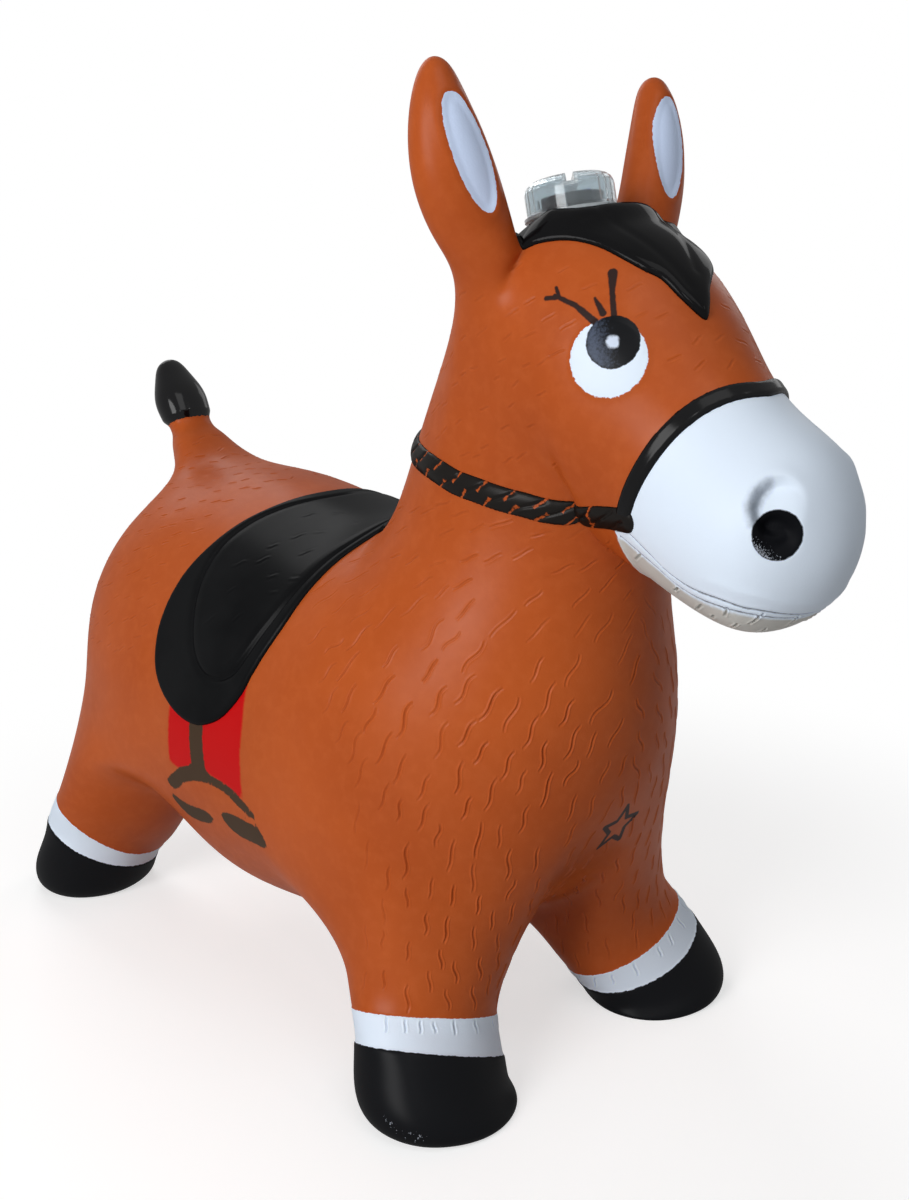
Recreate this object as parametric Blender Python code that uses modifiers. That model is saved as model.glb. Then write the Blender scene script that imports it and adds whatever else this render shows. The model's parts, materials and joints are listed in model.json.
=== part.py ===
"""An inflatable hopping horse with a clear light and sound module in the crown of its head.

The horse faces -Y, its left side is +X and +Z is up. It stands on z = 0, and the origin lies under
the centre of its overall box. Sizes are in metres and angles in degrees.
"""

from collections import namedtuple
from math import cos, radians, sin, sqrt, tau

import bmesh
import bpy
from mathutils import Matrix, Vector

# Skin: the outside sizes of the horse when it is blown up
SKIN_WALL = 0.0025
BARREL_LENGTH = 0.290
BARREL_WIDTH = 0.234
BARREL_DEPTH = 0.245
BARREL_HEIGHT = 0.156
RUMP_BULGE = 0.014
NECK_REACH = 0.033
NECK_RISE = 0.130
NECK_WIDTH = 0.115
NECK_DEPTH = 0.140
HEAD_LENGTH = 0.070
HEAD_RISE = 0.058
HEAD_WIDTH = 0.116
HEAD_DEPTH = 0.161
MUZZLE_LENGTH = 0.083
MUZZLE_DROP = 0.058
MUZZLE_WIDTH = 0.093
MUZZLE_DEPTH = 0.098
NOSE_BULGE = 0.020

# Stations along the tube of barrel, neck, head and muzzle. Each row is the way along and the rise,
# the tilt of the station in degrees, and its width and depth, all but the tilt as shares of the
# part's own sizes. A part starts at the end of the one before it.
BARREL_SHARES = (
    (0.00, 1.30, -19, 0.36, 0.34),
    (0.04, 1.19, -9, 0.73, 0.68),
    (0.16, 1.08, 0, 0.93, 0.91),
    (0.315, 1.035, -3, 1.00, 1.00),
    (0.495, 0.97, -5, 1.00, 1.00),
    (0.67, 0.97, -6, 0.985, 0.975),
    (0.85, 1.035, 4, 0.965, 0.95),
    (1.00, 1.155, 27, 0.92, 0.91),
)
NECK_SHARES = (
    (0.73, 0.295, 52, 1.62, 1.375),
    (0.86, 0.63, 66, 1.205, 1.09),
    (1.00, 1.00, 67, 1.00, 1.00),
)
HEAD_SHARES = (
    (0.215, 0.645, 51, 0.965, 0.935),
    (0.60, 1.00, 19, 1.00, 1.00),
    (1.00, 0.73, -12, 0.97, 0.905),
)
MUZZLE_SHARES = (
    (0.26, -0.505, -32, 0.945, 1.055),
    (0.595, -0.77, -29, 1.00, 1.00),
    (1.00, -1.00, -17, 0.975, 0.92),
)

# Legs: the fore legs' places are ahead of the barrel's chest end, the hind legs' from its rump end
FORE_ROOT_OUT = 0.066
FORE_ROOT_AHEAD = 0.0115
FORE_ROOT_HEIGHT = 0.057
FORE_FOOT_OUT = 0.086
FORE_FOOT_AHEAD = 0.049
FORE_ROOT_RADIUS = 0.041
FORE_SHIN_RADIUS = 0.0405
FORE_HOOF_RADIUS = 0.040
FORE_SPLAY = 22
FORE_RAKE = 10
HIND_ROOT_OUT = 0.080
HIND_ROOT_AHEAD = 0.050
HIND_ROOT_HEIGHT = 0.091
HIND_FOOT_OUT = 0.086
HIND_FOOT_BEHIND = 0.006
HIND_ROOT_RADIUS = 0.045
HIND_SHIN_RADIUS = 0.042
HIND_HOOF_RADIUS = 0.037
HIND_SPLAY = 28
HIND_RAKE = -15

# Stages of a leg: how far down it and how far out towards its foot, which of its radii the stage
# has and what share of it, and how much of the splay and rake is left
LEG_SHARES = (
    (0.00, 0.00, "root", 1.00, 1.00),
    (0.32, 0.36, "shin", 1.00, 1.00),
    (0.50, 0.58, "shin", 1.00, 1.00),
    (0.66, 0.77, "hoof", 0.98, 0.90),
    (0.84, 0.94, "hoof", 1.03, 0.50),
    (0.955, 1.00, "hoof", 0.97, 0.15),
    (1.00, 1.00, "hoof", 0.78, 0.00),
    (1.00, 1.00, "hoof", 0.50, 0.00),
)

# Ears: places relative to the poll, the neck's upper end, and widths across and through
EAR_ROOT_OUT = 0.047
EAR_ROOT_AHEAD = 0.013
EAR_ROOT_UP = 0.099
EAR_MIDDLE_OUT = 0.069
EAR_MIDDLE_AHEAD = 0.008
EAR_MIDDLE_UP = 0.143
EAR_TIP_OUT = 0.0715
EAR_TIP_UP = 0.193
EAR_ROOT_WIDTH = 0.026
EAR_WIDTH = 0.040
EAR_THICKNESS = 0.030
EAR_TURN = 17

# Stages of an ear: how far up, which of its widths the stage has and what share of it, and the
# share of its thickness; and how far the rounded tip stands beyond the last stage
EAR_SHARES = (
    (0.00, "root", 1.00, 1.25),
    (0.25, "blade", 0.95, 1.00),
    (0.50, "blade", 1.00, 1.00),
    (0.75, "blade", 0.72, 0.80),
    (0.93, "blade", 0.34, 0.50),
)
EAR_TIP_SHARE = 0.3

# Tail: places relative to the middle of the barrel's rump end
TAIL_ROOT_AHEAD = 0.005
TAIL_ROOT_UP = 0.096
TAIL_TIP_BEHIND = 0.021
TAIL_TIP_UP = 0.139
TAIL_ROOT_RADIUS = 0.0118
TAIL_RADIUS = 0.0125

# Stages of the tail: how far up, and which of its radii the stage has and what share of it
TAIL_SHARES = (
    (0.00, "root", 1.15),
    (0.25, "root", 1.00),
    (0.45, "tuft", 1.00),
    (0.70, "tuft", 0.85),
    (0.95, "tuft", 0.55),
)

# The control cage: points round the tube and each limb, the rings that a limb's root spans (for the
# tail, how many from the rump's end), the tube's columns of points there, and how far out the middle
# points of a closed end lie
TUBE_SIDES = 12
LEG_SIDES = 10
EAR_SIDES = 8
TAIL_SIDES = 6
POLL_STATION = len(BARREL_SHARES) + len(NECK_SHARES) - 1
FORE_SPAN = (5, 8)
HIND_SPAN = (1, 4)
EAR_SPAN = (10, 12)
TAIL_RINGS = 3
LEG_COLUMNS = (3, 4, 5)
EAR_COLUMNS = (0, 1, 2)
TAIL_COLUMNS = (TUBE_SIDES - 1, 0)
MIDDLE_SHARE = 0.30

# Clearances
SEAT_GAP = 0.0003
HOLE_CLEARANCE = 0.0002
CUT_OVERRUN = 0.010
JOIN_OVERLAP = 0.0005
MERGE_DISTANCE = 0.00001

# Pocket and module: heights along the module's axis are above the pocket's mouth
MODULE_TILT = 13
MODULE_AHEAD = 0.045
MODULE_SINK = 0.0005
POCKET_WALL = 0.0025
CUP_RADIUS = 0.0200
CUP_DEPTH = 0.0170
CUP_WALL = 0.0015
RIM_RADIUS = 0.0225
RIM_THICKNESS = 0.0015
LEDGE_RADIUS = 0.0169
LEDGE_TOP_DEPTH = 0.0010
LEDGE_THICKNESS = 0.0014
LUG_WIDTH = 0.006
LUG_CLEARANCE = 0.0006
LUG_THICKNESS = 0.0014
CAP_RADIUS = 0.0210
CAP_HEIGHT = 0.0155
CAP_WALL = 0.0016
CAP_ROUND = 0.0055
SKIRT_WALL = 0.0013
SLOT_WIDTH = 0.0036
SLOT_DEPTH = 0.0045
SLOT_TURN = 45
CAP_LUGS = 3
CAP_TRAVEL = 60

# Battery tray, cells and their contacts
TRAY_RADIUS = 0.0148
TRAY_BOTTOM = 0.0019
TRAY_HEIGHT = 0.0073
TRAY_DECK = 0.0015
CELLS = 3
CELL_RADIUS = 0.0058
CELL_THICKNESS = 0.0054
CELL_EDGE = 0.0004
CELL_CIRCLE = 0.0076
CELL_START = 90
CONTACT_THICKNESS = 0.0003
PAD_WIDTH = 0.003
PAD_LENGTH = 0.008
TAB_WIDTH = 0.0026
TAB_HEIGHT = 0.005
TRAY_COLUMN_RADIUS = 0.0020
TRAY_COLUMN_CIRCLE = 0.0122

# Board with its lamps, chip and bounce switch
BOARD_RADIUS = 0.0138
BOARD_THICKNESS = 0.0010
LED_RADIUS = 0.0025
LED_FLANGE_RADIUS = 0.0028
LED_FLANGE_HEIGHT = 0.0010
LED_HEIGHT = 0.0086
LED_CIRCLE = 0.0110
LED_START = 30
CHIP_RADIUS = 0.0030
CHIP_HEIGHT = 0.0013
CHIP_OFFSET = 0.0060
CHIP_FLANK_SHARE = 0.6
SPRING_RADIUS = 0.0014
SPRING_WIRE_RADIUS = 0.00018
SPRING_LENGTH = 0.0060
SPRING_OFFSET = 0.0070
SPRING_TURNS = 6
SPRING_POINTS_A_TURN = 8
PIN_RADIUS = 0.0005
PIN_LENGTH = 0.0054

# Loudspeaker on the cup's floor
SPEAKER_RADIUS = 0.0096
SPEAKER_HEIGHT = 0.0042
SPEAKER_FLOOR = 0.0008
SPEAKER_LIP = 0.0006
SPEAKER_WALL = 0.0011
SPEAKER_STEP = 0.0012
MAGNET_RADIUS = 0.0059
MAGNET_HEIGHT = 0.0020
CONE_THICKNESS = 0.0004
CONE_RISE = 0.0010
DOME_SHARE = 0.6
WIRE_RADIUS = 0.00045
WIRE_SPACING = 0.0030
WIRE_START = 0.0060
WIRE_POINTS = 8

# Screws
SCREW_RADIUS = 0.0008
SCREW_LENGTH = 0.0075
SCREW_HEAD_RADIUS = 0.0018
SCREW_HEAD_HEIGHT = 0.0010
BOARD_SCREW_BITE = 0.0050

# Valve under the belly, with heights above the belly's lowest skin there
VALVE_AHEAD_SHARE = 0.50
VALVE_BOSS_RADIUS = 0.0115
VALVE_BOSS_HEIGHT = 0.0130
VALVE_RECESS_RADIUS = 0.0090
VALVE_RECESS_DEPTH = 0.0023
PLUG_HEAD_THICKNESS = 0.0018
PLUG_STEM_RADIUS = 0.0038
PLUG_RIB_RADIUS = 0.0043
PLUG_RIB_HEIGHT = 0.0015
PLUG_RIBS = 3
PLUG_LENGTH = 0.0150
PLUG_TIP_RADIUS = 0.0028

# Smoothness
ROUND_STEPS = 30
SMALL_STEPS = 12
PLUG_STEPS = 20
ARC_STEPS = 5

Disk = namedtuple("Disk", "centre lengthways crossways")
Leg = namedtuple("Leg", "root foot radii splay rake")

collection = None
cutters = None


def start_scene():
    """Empties the file and makes the two collections."""
    global collection, cutters
    for obj in list(bpy.data.objects):
        bpy.data.objects.remove(obj)
    collection = bpy.data.collections.new("hopping_horse")
    cutters = bpy.data.collections.new("cutters")
    bpy.context.scene.collection.children.link(collection)
    bpy.context.scene.collection.children.link(cutters)


def material(name, color, roughness, metallic=0.0, transmission=0.0):
    made = bpy.data.materials.new(name)
    made.use_nodes = True
    shader = made.node_tree.nodes["Principled BSDF"]
    shader.inputs["Base Color"].default_value = (*color, 1)
    shader.inputs["Roughness"].default_value = roughness
    shader.inputs["Metallic"].default_value = metallic
    shader.inputs["Transmission Weight"].default_value = transmission
    made.diffuse_color = (*color, 1)
    return made


def add_piece(name, mesh, parent=None, finish=None):
    """Links a mesh as an object of the part, carried by the given empty."""
    piece = bpy.data.objects.new(name, mesh)
    collection.objects.link(piece)
    piece.parent = parent
    if finish:
        mesh.materials.append(finish)
    return piece


def as_cutter(piece):
    """Takes a piece out of the part: it only shapes other pieces."""
    collection.objects.unlink(piece)
    cutters.objects.link(piece)
    piece.hide_render = True
    piece.display_type = "WIRE"
    return piece


def combine(piece, operation, other):
    step = piece.modifiers.new(operation.title(), "BOOLEAN")
    step.operation = operation
    step.solver = "EXACT"
    step.object = as_cutter(other)


def add_empty(name, place, turn=None):
    empty = bpy.data.objects.new(name, None)
    empty.empty_display_size = CUP_RADIUS
    collection.objects.link(empty)
    empty.matrix_world = Matrix.Translation(place) @ (turn or Matrix())
    return empty


# Shared shapes


def turned(name, profile, parent=None, finish=None, steps=ROUND_STEPS):
    """A solid of revolution about local Z; the profile of (radius, height) runs down the outer side."""
    mesh = bpy.data.meshes.new(name)
    points = [(radius, 0, height) for radius, height in profile]
    pairs = [(i, (i + 1) % len(points)) for i in range(len(points))]
    off_axis = [(a, b) for a, b in pairs if points[a][0] or points[b][0]]
    mesh.from_pydata(points, off_axis, [])
    piece = add_piece(name, mesh, parent, finish)
    screw = piece.modifiers.new("Turn", "SCREW")
    screw.steps = steps
    screw.render_steps = steps
    screw.use_merge_vertices = True
    screw.merge_threshold = MERGE_DISTANCE
    screw.use_smooth_shade = True
    return piece


def drums(name, places, radius, low, high, parent=None, finish=None, steps=SMALL_STEPS):
    """Upright cylinders of one radius at the (x, y) places, from one height to another."""
    mesh = bpy.data.meshes.new(name)
    shape = bmesh.new()
    for x, y in places:
        bmesh.ops.create_cone(
            shape,
            cap_ends=True,
            segments=steps,
            radius1=radius,
            radius2=radius,
            depth=high - low,
            matrix=Matrix.Translation((x, y, (low + high) / 2)),
        )
    shape.to_mesh(mesh)
    shape.free()
    return add_piece(name, mesh, parent, finish)


def blocks(name, turns, low, high, parent=None, finish=None):
    """Boxes between two corners, each turned about Z by one of the given angles."""
    mesh = bpy.data.meshes.new(name)
    shape = bmesh.new()
    low = Vector(low)
    high = Vector(high)
    for turn in turns:
        place = Matrix.Rotation(radians(turn), 4, "Z") @ Matrix.Translation((low + high) / 2)
        size = Matrix.Diagonal((*(high - low), 1))
        bmesh.ops.create_cube(shape, size=1, matrix=place @ size)
    shape.to_mesh(mesh)
    shape.free()
    return add_piece(name, mesh, parent, finish)


def rod_along(name, points, radius, parent=None, finish=None):
    """A round wire through the points."""
    curve = bpy.data.curves.new(name, "CURVE")
    curve.dimensions = "3D"
    curve.bevel_depth = radius
    curve.bevel_resolution = 1
    curve.use_fill_caps = True
    spline = curve.splines.new("POLY")
    spline.points.add(len(points) - 1)
    for spot, point in zip(spline.points, points):
        spot.co = (*point, 1)
    return add_piece(name, curve, parent, finish)


def arc(centre, radius, start, stop, steps=ARC_STEPS):
    """Points (radius, height) on an arc from one angle to another."""
    turns = [radians(start + (stop - start) * i / steps) for i in range(steps + 1)]
    return [(centre[0] + radius * cos(turn), centre[1] + radius * sin(turn)) for turn in turns]


def around(circle, count, first=0):
    """Evenly spaced (x, y) places on a circle."""
    turns = [radians(first + 360 * i / count) for i in range(count)]
    return [(circle * cos(turn), circle * sin(turn)) for turn in turns]


def spaced(count, first=0):
    return [first + 360 * i / count for i in range(count)]


# The skin's control cage


class Cage:
    """Control points, and faces kept by name so that a limb can open the ones it grows from."""

    def __init__(self):
        self.points = []
        self.faces = {}

    def add(self, points):
        first = len(self.points)
        self.points.extend(Vector(point) for point in points)
        return list(range(first, len(self.points)))

    def bridge(self, name, loop, other):
        for i in range(len(loop)):
            j = (i + 1) % len(loop)
            self.faces[(*name, i)] = [loop[i], loop[j], other[j], other[i]]

    def grid(self, name, rows):
        for i, (row, below) in enumerate(zip(rows, rows[1:])):
            for j in range(len(row) - 1):
                self.faces[(*name, i, j)] = [row[j], row[j + 1], below[j + 1], below[j]]


def control(size, sides):
    """The control size whose smoothed ring of that many sides has the given size."""
    return size / ((2 + cos(tau / sides)) / 3)


def tube_ring(y, z, tilt, width, depth):
    """Points round one station of the tube, starting beside top centre on the left side."""
    up = Vector((0, sin(radians(tilt)), cos(radians(tilt))))
    points = []
    for i in range(TUBE_SIDES):
        turn = tau * (i + 0.5) / TUBE_SIDES
        across = control(width / 2, TUBE_SIDES) * sin(turn)
        high = control(depth / 2, TUBE_SIDES) * cos(turn)
        points.append(Vector((across, y, z)) + up * high)
    return points


def tube_stations():
    """Every station of the tube as (y, z, tilt, width, depth), with the barrel's rear end at y = 0."""
    stations = []
    for along, rise, tilt, width, depth in BARREL_SHARES:
        spot = (-along * BARREL_LENGTH, rise * BARREL_HEIGHT)
        stations.append((*spot, tilt, width * BARREL_WIDTH, depth * BARREL_DEPTH))
    for shares, length, height, wide, deep in (
        (NECK_SHARES, NECK_REACH, NECK_RISE, NECK_WIDTH, NECK_DEPTH),
        (HEAD_SHARES, HEAD_LENGTH, HEAD_RISE, HEAD_WIDTH, HEAD_DEPTH),
        (MUZZLE_SHARES, MUZZLE_LENGTH, MUZZLE_DROP, MUZZLE_WIDTH, MUZZLE_DEPTH),
    ):
        y, z = stations[-1][:2]
        for along, rise, tilt, width, depth in shares:
            spot = (y - along * length, z + rise * height)
            stations.append((*spot, tilt, width * wide, depth * deep))
    return stations


def close_tube(cage, name, ring, out):
    """Closes an end ring with a grid of three by three faces, its middle pushed out."""
    spots = [cage.points[i] for i in ring]
    centre = sum(spots, Vector()) / len(spots)
    across = (spots[2] + spots[3]) / 2 - centre
    up = (spots[11] + spots[0]) / 2 - centre
    corners = []
    for high in (1, -1):
        for side in (-1, 1):
            corners.append(centre + (across * side + up * high) * MIDDLE_SHARE + out)
    middle = cage.add(corners)
    rows = (
        (ring[10], ring[11], ring[0], ring[1]),
        (ring[9], middle[0], middle[1], ring[2]),
        (ring[8], middle[2], middle[3], ring[3]),
        (ring[7], ring[6], ring[5], ring[4]),
    )
    cage.grid((name,), rows)


def disk_spot(row, rows, column, columns):
    """A grid's spot moved onto a round disk: shares of its two radii, from 1 to -1 and -1 to 1."""
    u = 1 - 2 * row / (rows - 1)
    v = 2 * column / (columns - 1) - 1
    return u * sqrt(1 - v * v / 2), v * sqrt(1 - u * u / 2)


def grow_limb(cage, name, rings, span, columns, sections, tip):
    """Opens the tube where a limb grows, and lofts the limb out through its sections."""
    first, last = span
    grid = [[rings[i][column] for column in columns] for i in range(first, last + 1)]
    for i in range(first, last):
        for left, right in zip(columns, columns[1:]):
            low = left if (left + 1) % TUBE_SIDES == right else right
            del cage.faces["tube", i, low]
    rows = len(grid)
    wide = len(columns)
    edge = [(0, j) for j in range(wide)]
    edge += [(i, wide - 1) for i in range(1, rows)]
    edge += [(rows - 1, j) for j in range(wide - 2, -1, -1)]
    edge += [(i, 0) for i in range(rows - 2, 0, -1)]
    loop = [grid[i][j] for i, j in edge]
    spots = {}
    for number, section in enumerate(sections):
        for i in range(rows):
            for j in range(wide):
                u, v = disk_spot(i, rows, j, wide)
                spots[i, j] = section.centre + section.lengthways * u + section.crossways * v
        outer = cage.add([spots[spot] for spot in edge])
        cage.bridge((name, number), loop, outer)
        loop = outer
    ids = dict(zip(edge, loop))
    inner = [spot for spot in spots if spot not in ids]
    ids.update(zip(inner, cage.add([spots[spot] + tip for spot in inner])))
    cage.grid((name, "end"), [[ids[i, j] for j in range(wide)] for i in range(rows)])


def flipped(vector, side):
    return Vector((vector.x * side, vector.y, vector.z))


def leg_sections(leg, side):
    """Round sections from the hip or shoulder down to the flat sole."""
    sections = []
    for down, out, part, share, lean in LEG_SHARES:
        splay = radians(leg.splay * lean)
        rake = radians(leg.rake * lean)
        reach = control(leg.radii[part] * share, LEG_SIDES)
        across = Vector((cos(splay), 0, sin(splay))) * reach
        along = Vector((0, cos(rake), sin(rake))) * reach
        centre = leg.root.lerp(leg.foot, out)
        centre.z = leg.root.z + (leg.foot.z - leg.root.z) * down
        sections.append(Disk(flipped(centre, side), along, flipped(-across, side)))
    return sections


def ear_sections(poll, side):
    """Flattened sections along a curved ear."""
    root = poll + Vector((EAR_ROOT_OUT, -EAR_ROOT_AHEAD, EAR_ROOT_UP))
    middle = poll + Vector((EAR_MIDDLE_OUT, -EAR_MIDDLE_AHEAD, EAR_MIDDLE_UP))
    tip = poll + Vector((EAR_TIP_OUT, 0, EAR_TIP_UP))
    bend = middle * 2 - (root + tip) / 2
    face = Vector((cos(radians(EAR_TURN)), sin(radians(EAR_TURN)), 0))
    widths = {"root": EAR_ROOT_WIDTH, "blade": EAR_WIDTH}
    sections = []
    for up, part, share, thickness in EAR_SHARES:
        centre = root.lerp(bend, up).lerp(bend.lerp(tip, up), up)
        heading = (bend.lerp(tip, up) - root.lerp(bend, up)).normalized()
        across = (face - heading * face.dot(heading)).normalized()
        through = heading.cross(across)
        if through.y < 0:
            through.negate()
        sections.append(
            Disk(
                flipped(centre, side),
                flipped(through, side) * control(EAR_THICKNESS * thickness / 2, EAR_SIDES),
                flipped(across, side) * control(widths[part] * share / 2, EAR_SIDES),
            )
        )
    return sections


def tail_sections(rump):
    """Round sections along the raised tail."""
    root = rump + Vector((0, -TAIL_ROOT_AHEAD, TAIL_ROOT_UP))
    tip = rump + Vector((0, TAIL_TIP_BEHIND, TAIL_TIP_UP))
    heading = (tip - root).normalized()
    back = Vector((0, heading.z, -heading.y))
    radii = {"root": TAIL_ROOT_RADIUS, "tuft": TAIL_RADIUS}
    sections = []
    for up, part, share in TAIL_SHARES:
        reach = control(radii[part] * share, TAIL_SIDES)
        sections.append(Disk(root.lerp(tip, up), back * reach, Vector((reach, 0, 0))))
    return sections


def horse_cage():
    """The control cage, and the places that other pieces follow."""
    cage = Cage()
    stations = tube_stations()
    rings = [cage.add(tube_ring(*station)) for station in stations]
    for i, (ring, ahead) in enumerate(zip(rings, rings[1:])):
        cage.bridge(("tube", i), ring, ahead)
    close_tube(cage, "rump", rings[0], Vector((0, RUMP_BULGE, 0)))
    nose_tilt = radians(stations[-1][2])
    close_tube(cage, "nose", rings[-1], Vector((0, -cos(nose_tilt), sin(nose_tilt))) * NOSE_BULGE)

    rump = Vector((0, stations[0][0], 0))
    chest = Vector((0, stations[len(BARREL_SHARES) - 1][0], 0))
    rump_middle = Vector((0, *stations[0][:2]))
    poll = Vector((0, *stations[POLL_STATION][:2]))
    fore = Leg(
        root=chest + Vector((FORE_ROOT_OUT, -FORE_ROOT_AHEAD, FORE_ROOT_HEIGHT)),
        foot=chest + Vector((FORE_FOOT_OUT, -FORE_FOOT_AHEAD, 0)),
        radii={"root": FORE_ROOT_RADIUS, "shin": FORE_SHIN_RADIUS, "hoof": FORE_HOOF_RADIUS},
        splay=FORE_SPLAY,
        rake=FORE_RAKE,
    )
    hind = Leg(
        root=rump + Vector((HIND_ROOT_OUT, -HIND_ROOT_AHEAD, HIND_ROOT_HEIGHT)),
        foot=rump + Vector((HIND_FOOT_OUT, HIND_FOOT_BEHIND, 0)),
        radii={"root": HIND_ROOT_RADIUS, "shin": HIND_SHIN_RADIUS, "hoof": HIND_HOOF_RADIUS},
        splay=HIND_SPLAY,
        rake=HIND_RAKE,
    )
    for side in (1, -1):
        leg_columns = LEG_COLUMNS if side > 0 else mirrored(LEG_COLUMNS)
        ear_columns = EAR_COLUMNS if side > 0 else mirrored(EAR_COLUMNS)
        level = Vector()
        grow_limb(cage, f"fore{side}", rings, FORE_SPAN, leg_columns, leg_sections(fore, side), level)
        grow_limb(cage, f"hind{side}", rings, HIND_SPAN, leg_columns, leg_sections(hind, side), level)
        sections = ear_sections(poll, side)
        tip = (sections[-1].centre - sections[-2].centre) * EAR_TIP_SHARE
        grow_limb(cage, f"ear{side}", rings, EAR_SPAN, ear_columns, sections, tip)
    sections = tail_sections(rump_middle)
    grow_limb(cage, "tail", rings, (0, TAIL_RINGS - 1), TAIL_COLUMNS, sections, Vector())
    return cage, rump, poll


def mirrored(columns):
    return [TUBE_SIDES - 1 - column for column in columns]


def smoothed_bounds(piece):
    depsgraph = bpy.context.evaluated_depsgraph_get()
    mesh = piece.evaluated_get(depsgraph).to_mesh()
    places = [vertex.co for vertex in mesh.vertices]
    ends = min(place.y for place in places), max(place.y for place in places)
    piece.evaluated_get(depsgraph).to_mesh_clear()
    return ends


def surface_point(piece, start, heading):
    """Where a straight line first meets the piece."""
    depsgraph = bpy.context.evaluated_depsgraph_get()
    depsgraph.update()
    found, place, _, _ = piece.evaluated_get(depsgraph).ray_cast(start, heading)
    if not found:
        raise ValueError("the line misses the skin")
    return place


def make_skin(finish):
    """The hollow skin, and the places of the pocket's and the valve's axes on it."""
    cage, rump, poll = horse_cage()
    mesh = bpy.data.meshes.new("body_skin")
    mesh.from_pydata(cage.points, [], list(cage.faces.values()))
    shape = bmesh.new()
    shape.from_mesh(mesh)
    loose = [vertex for vertex in shape.verts if not vertex.link_faces]
    bmesh.ops.delete(shape, geom=loose, context="VERTS")
    bmesh.ops.recalc_face_normals(shape, faces=shape.faces)
    shape.to_mesh(mesh)
    shape.free()
    mesh.shade_smooth()
    skin = add_piece("body_skin", mesh, finish=finish)
    smooth = skin.modifiers.new("Smooth", "SUBSURF")
    smooth.levels = 1
    smooth.render_levels = 1
    rear, front = smoothed_bounds(skin)
    shift = Vector((0, -(rear + front) / 2, 0))
    mesh.transform(Matrix.Translation(shift))
    axis = Vector((0, sin(radians(MODULE_TILT)), cos(radians(MODULE_TILT))))
    aim = poll + shift - Vector((0, MODULE_AHEAD, 0))
    crown = surface_point(skin, aim + axis * BARREL_LENGTH, -axis)
    under = rump + shift - Vector((0, VALVE_AHEAD_SHARE * BARREL_LENGTH, BARREL_HEIGHT))
    belly = surface_point(skin, under, Vector((0, 0, 1)))
    shell = skin.modifiers.new("Wall", "SOLIDIFY")
    shell.thickness = SKIN_WALL
    shell.offset = -1
    return skin, crown - axis * MODULE_SINK, belly


# Light and sound module


def cup_inside():
    return CUP_RADIUS - CUP_WALL


def rim_top():
    return SEAT_GAP + RIM_THICKNESS


def cup_floor():
    return CUP_WALL - CUP_DEPTH


def ledge_bottom():
    return -LEDGE_TOP_DEPTH - LEDGE_THICKNESS


def board_top():
    return TRAY_BOTTOM - SEAT_GAP


def board_bottom():
    return board_top() - BOARD_THICKNESS


def pocket_depth():
    return CUP_DEPTH + SCREW_HEAD_HEIGHT + 3 * SEAT_GAP


def make_pocket(skin, frame):
    """The moulded cup in the crown that the module drops into."""
    radius = RIM_RADIUS + SEAT_GAP + POCKET_WALL
    bottom = -pocket_depth() - POCKET_WALL
    boss = turned("pocket_boss", [(0, 0), (radius, 0), (radius, bottom), (0, bottom)], frame)
    combine(skin, "UNION", boss)
    profile = [
        (0, CUT_OVERRUN),
        (RIM_RADIUS + SEAT_GAP, CUT_OVERRUN),
        (RIM_RADIUS + SEAT_GAP, 0),
        (CUP_RADIUS + SEAT_GAP, 0),
        (CUP_RADIUS + SEAT_GAP, -pocket_depth()),
        (0, -pocket_depth()),
    ]
    combine(skin, "DIFFERENCE", turned("pocket_bore", profile, frame))


def make_cup(frame, finish):
    inside = cup_inside()
    profile = [
        (inside, rim_top()),
        (RIM_RADIUS, rim_top()),
        (RIM_RADIUS, SEAT_GAP),
        (CUP_RADIUS, SEAT_GAP),
        (CUP_RADIUS, -CUP_DEPTH),
        (0, -CUP_DEPTH),
        (0, cup_floor()),
        (inside, cup_floor()),
        (inside, ledge_bottom()),
        (LEDGE_RADIUS, ledge_bottom()),
        (LEDGE_RADIUS, -LEDGE_TOP_DEPTH),
        (inside, -LEDGE_TOP_DEPTH),
    ]
    cup = turned("module_cup", profile, frame, finish)
    half = LUG_WIDTH / 2 + LUG_CLEARANCE
    low = (LEDGE_RADIUS - JOIN_OVERLAP, -half, ledge_bottom() - JOIN_OVERLAP)
    high = (inside - HOLE_CLEARANCE, half, -LEDGE_TOP_DEPTH + JOIN_OVERLAP)
    notches = blocks("lug_notches", spaced(CAP_LUGS, CAP_TRAVEL), low, high, frame)
    combine(cup, "DIFFERENCE", notches)
    places = around(TRAY_COLUMN_CIRCLE, CELLS, CELL_START)
    hole = SCREW_RADIUS + HOLE_CLEARANCE
    below = -CUP_DEPTH - CUT_OVERRUN
    holes = drums("cup_screw_holes", places, hole, below, cup_floor() + JOIN_OVERLAP, frame)
    combine(cup, "DIFFERENCE", holes)


def cap_profile(radius, top, bottom, rounding):
    """The cap's outline from its top centre to its foot."""
    return [(0, top), *arc((radius - rounding, top - rounding), rounding, 90, 0), (radius, bottom)]


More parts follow.
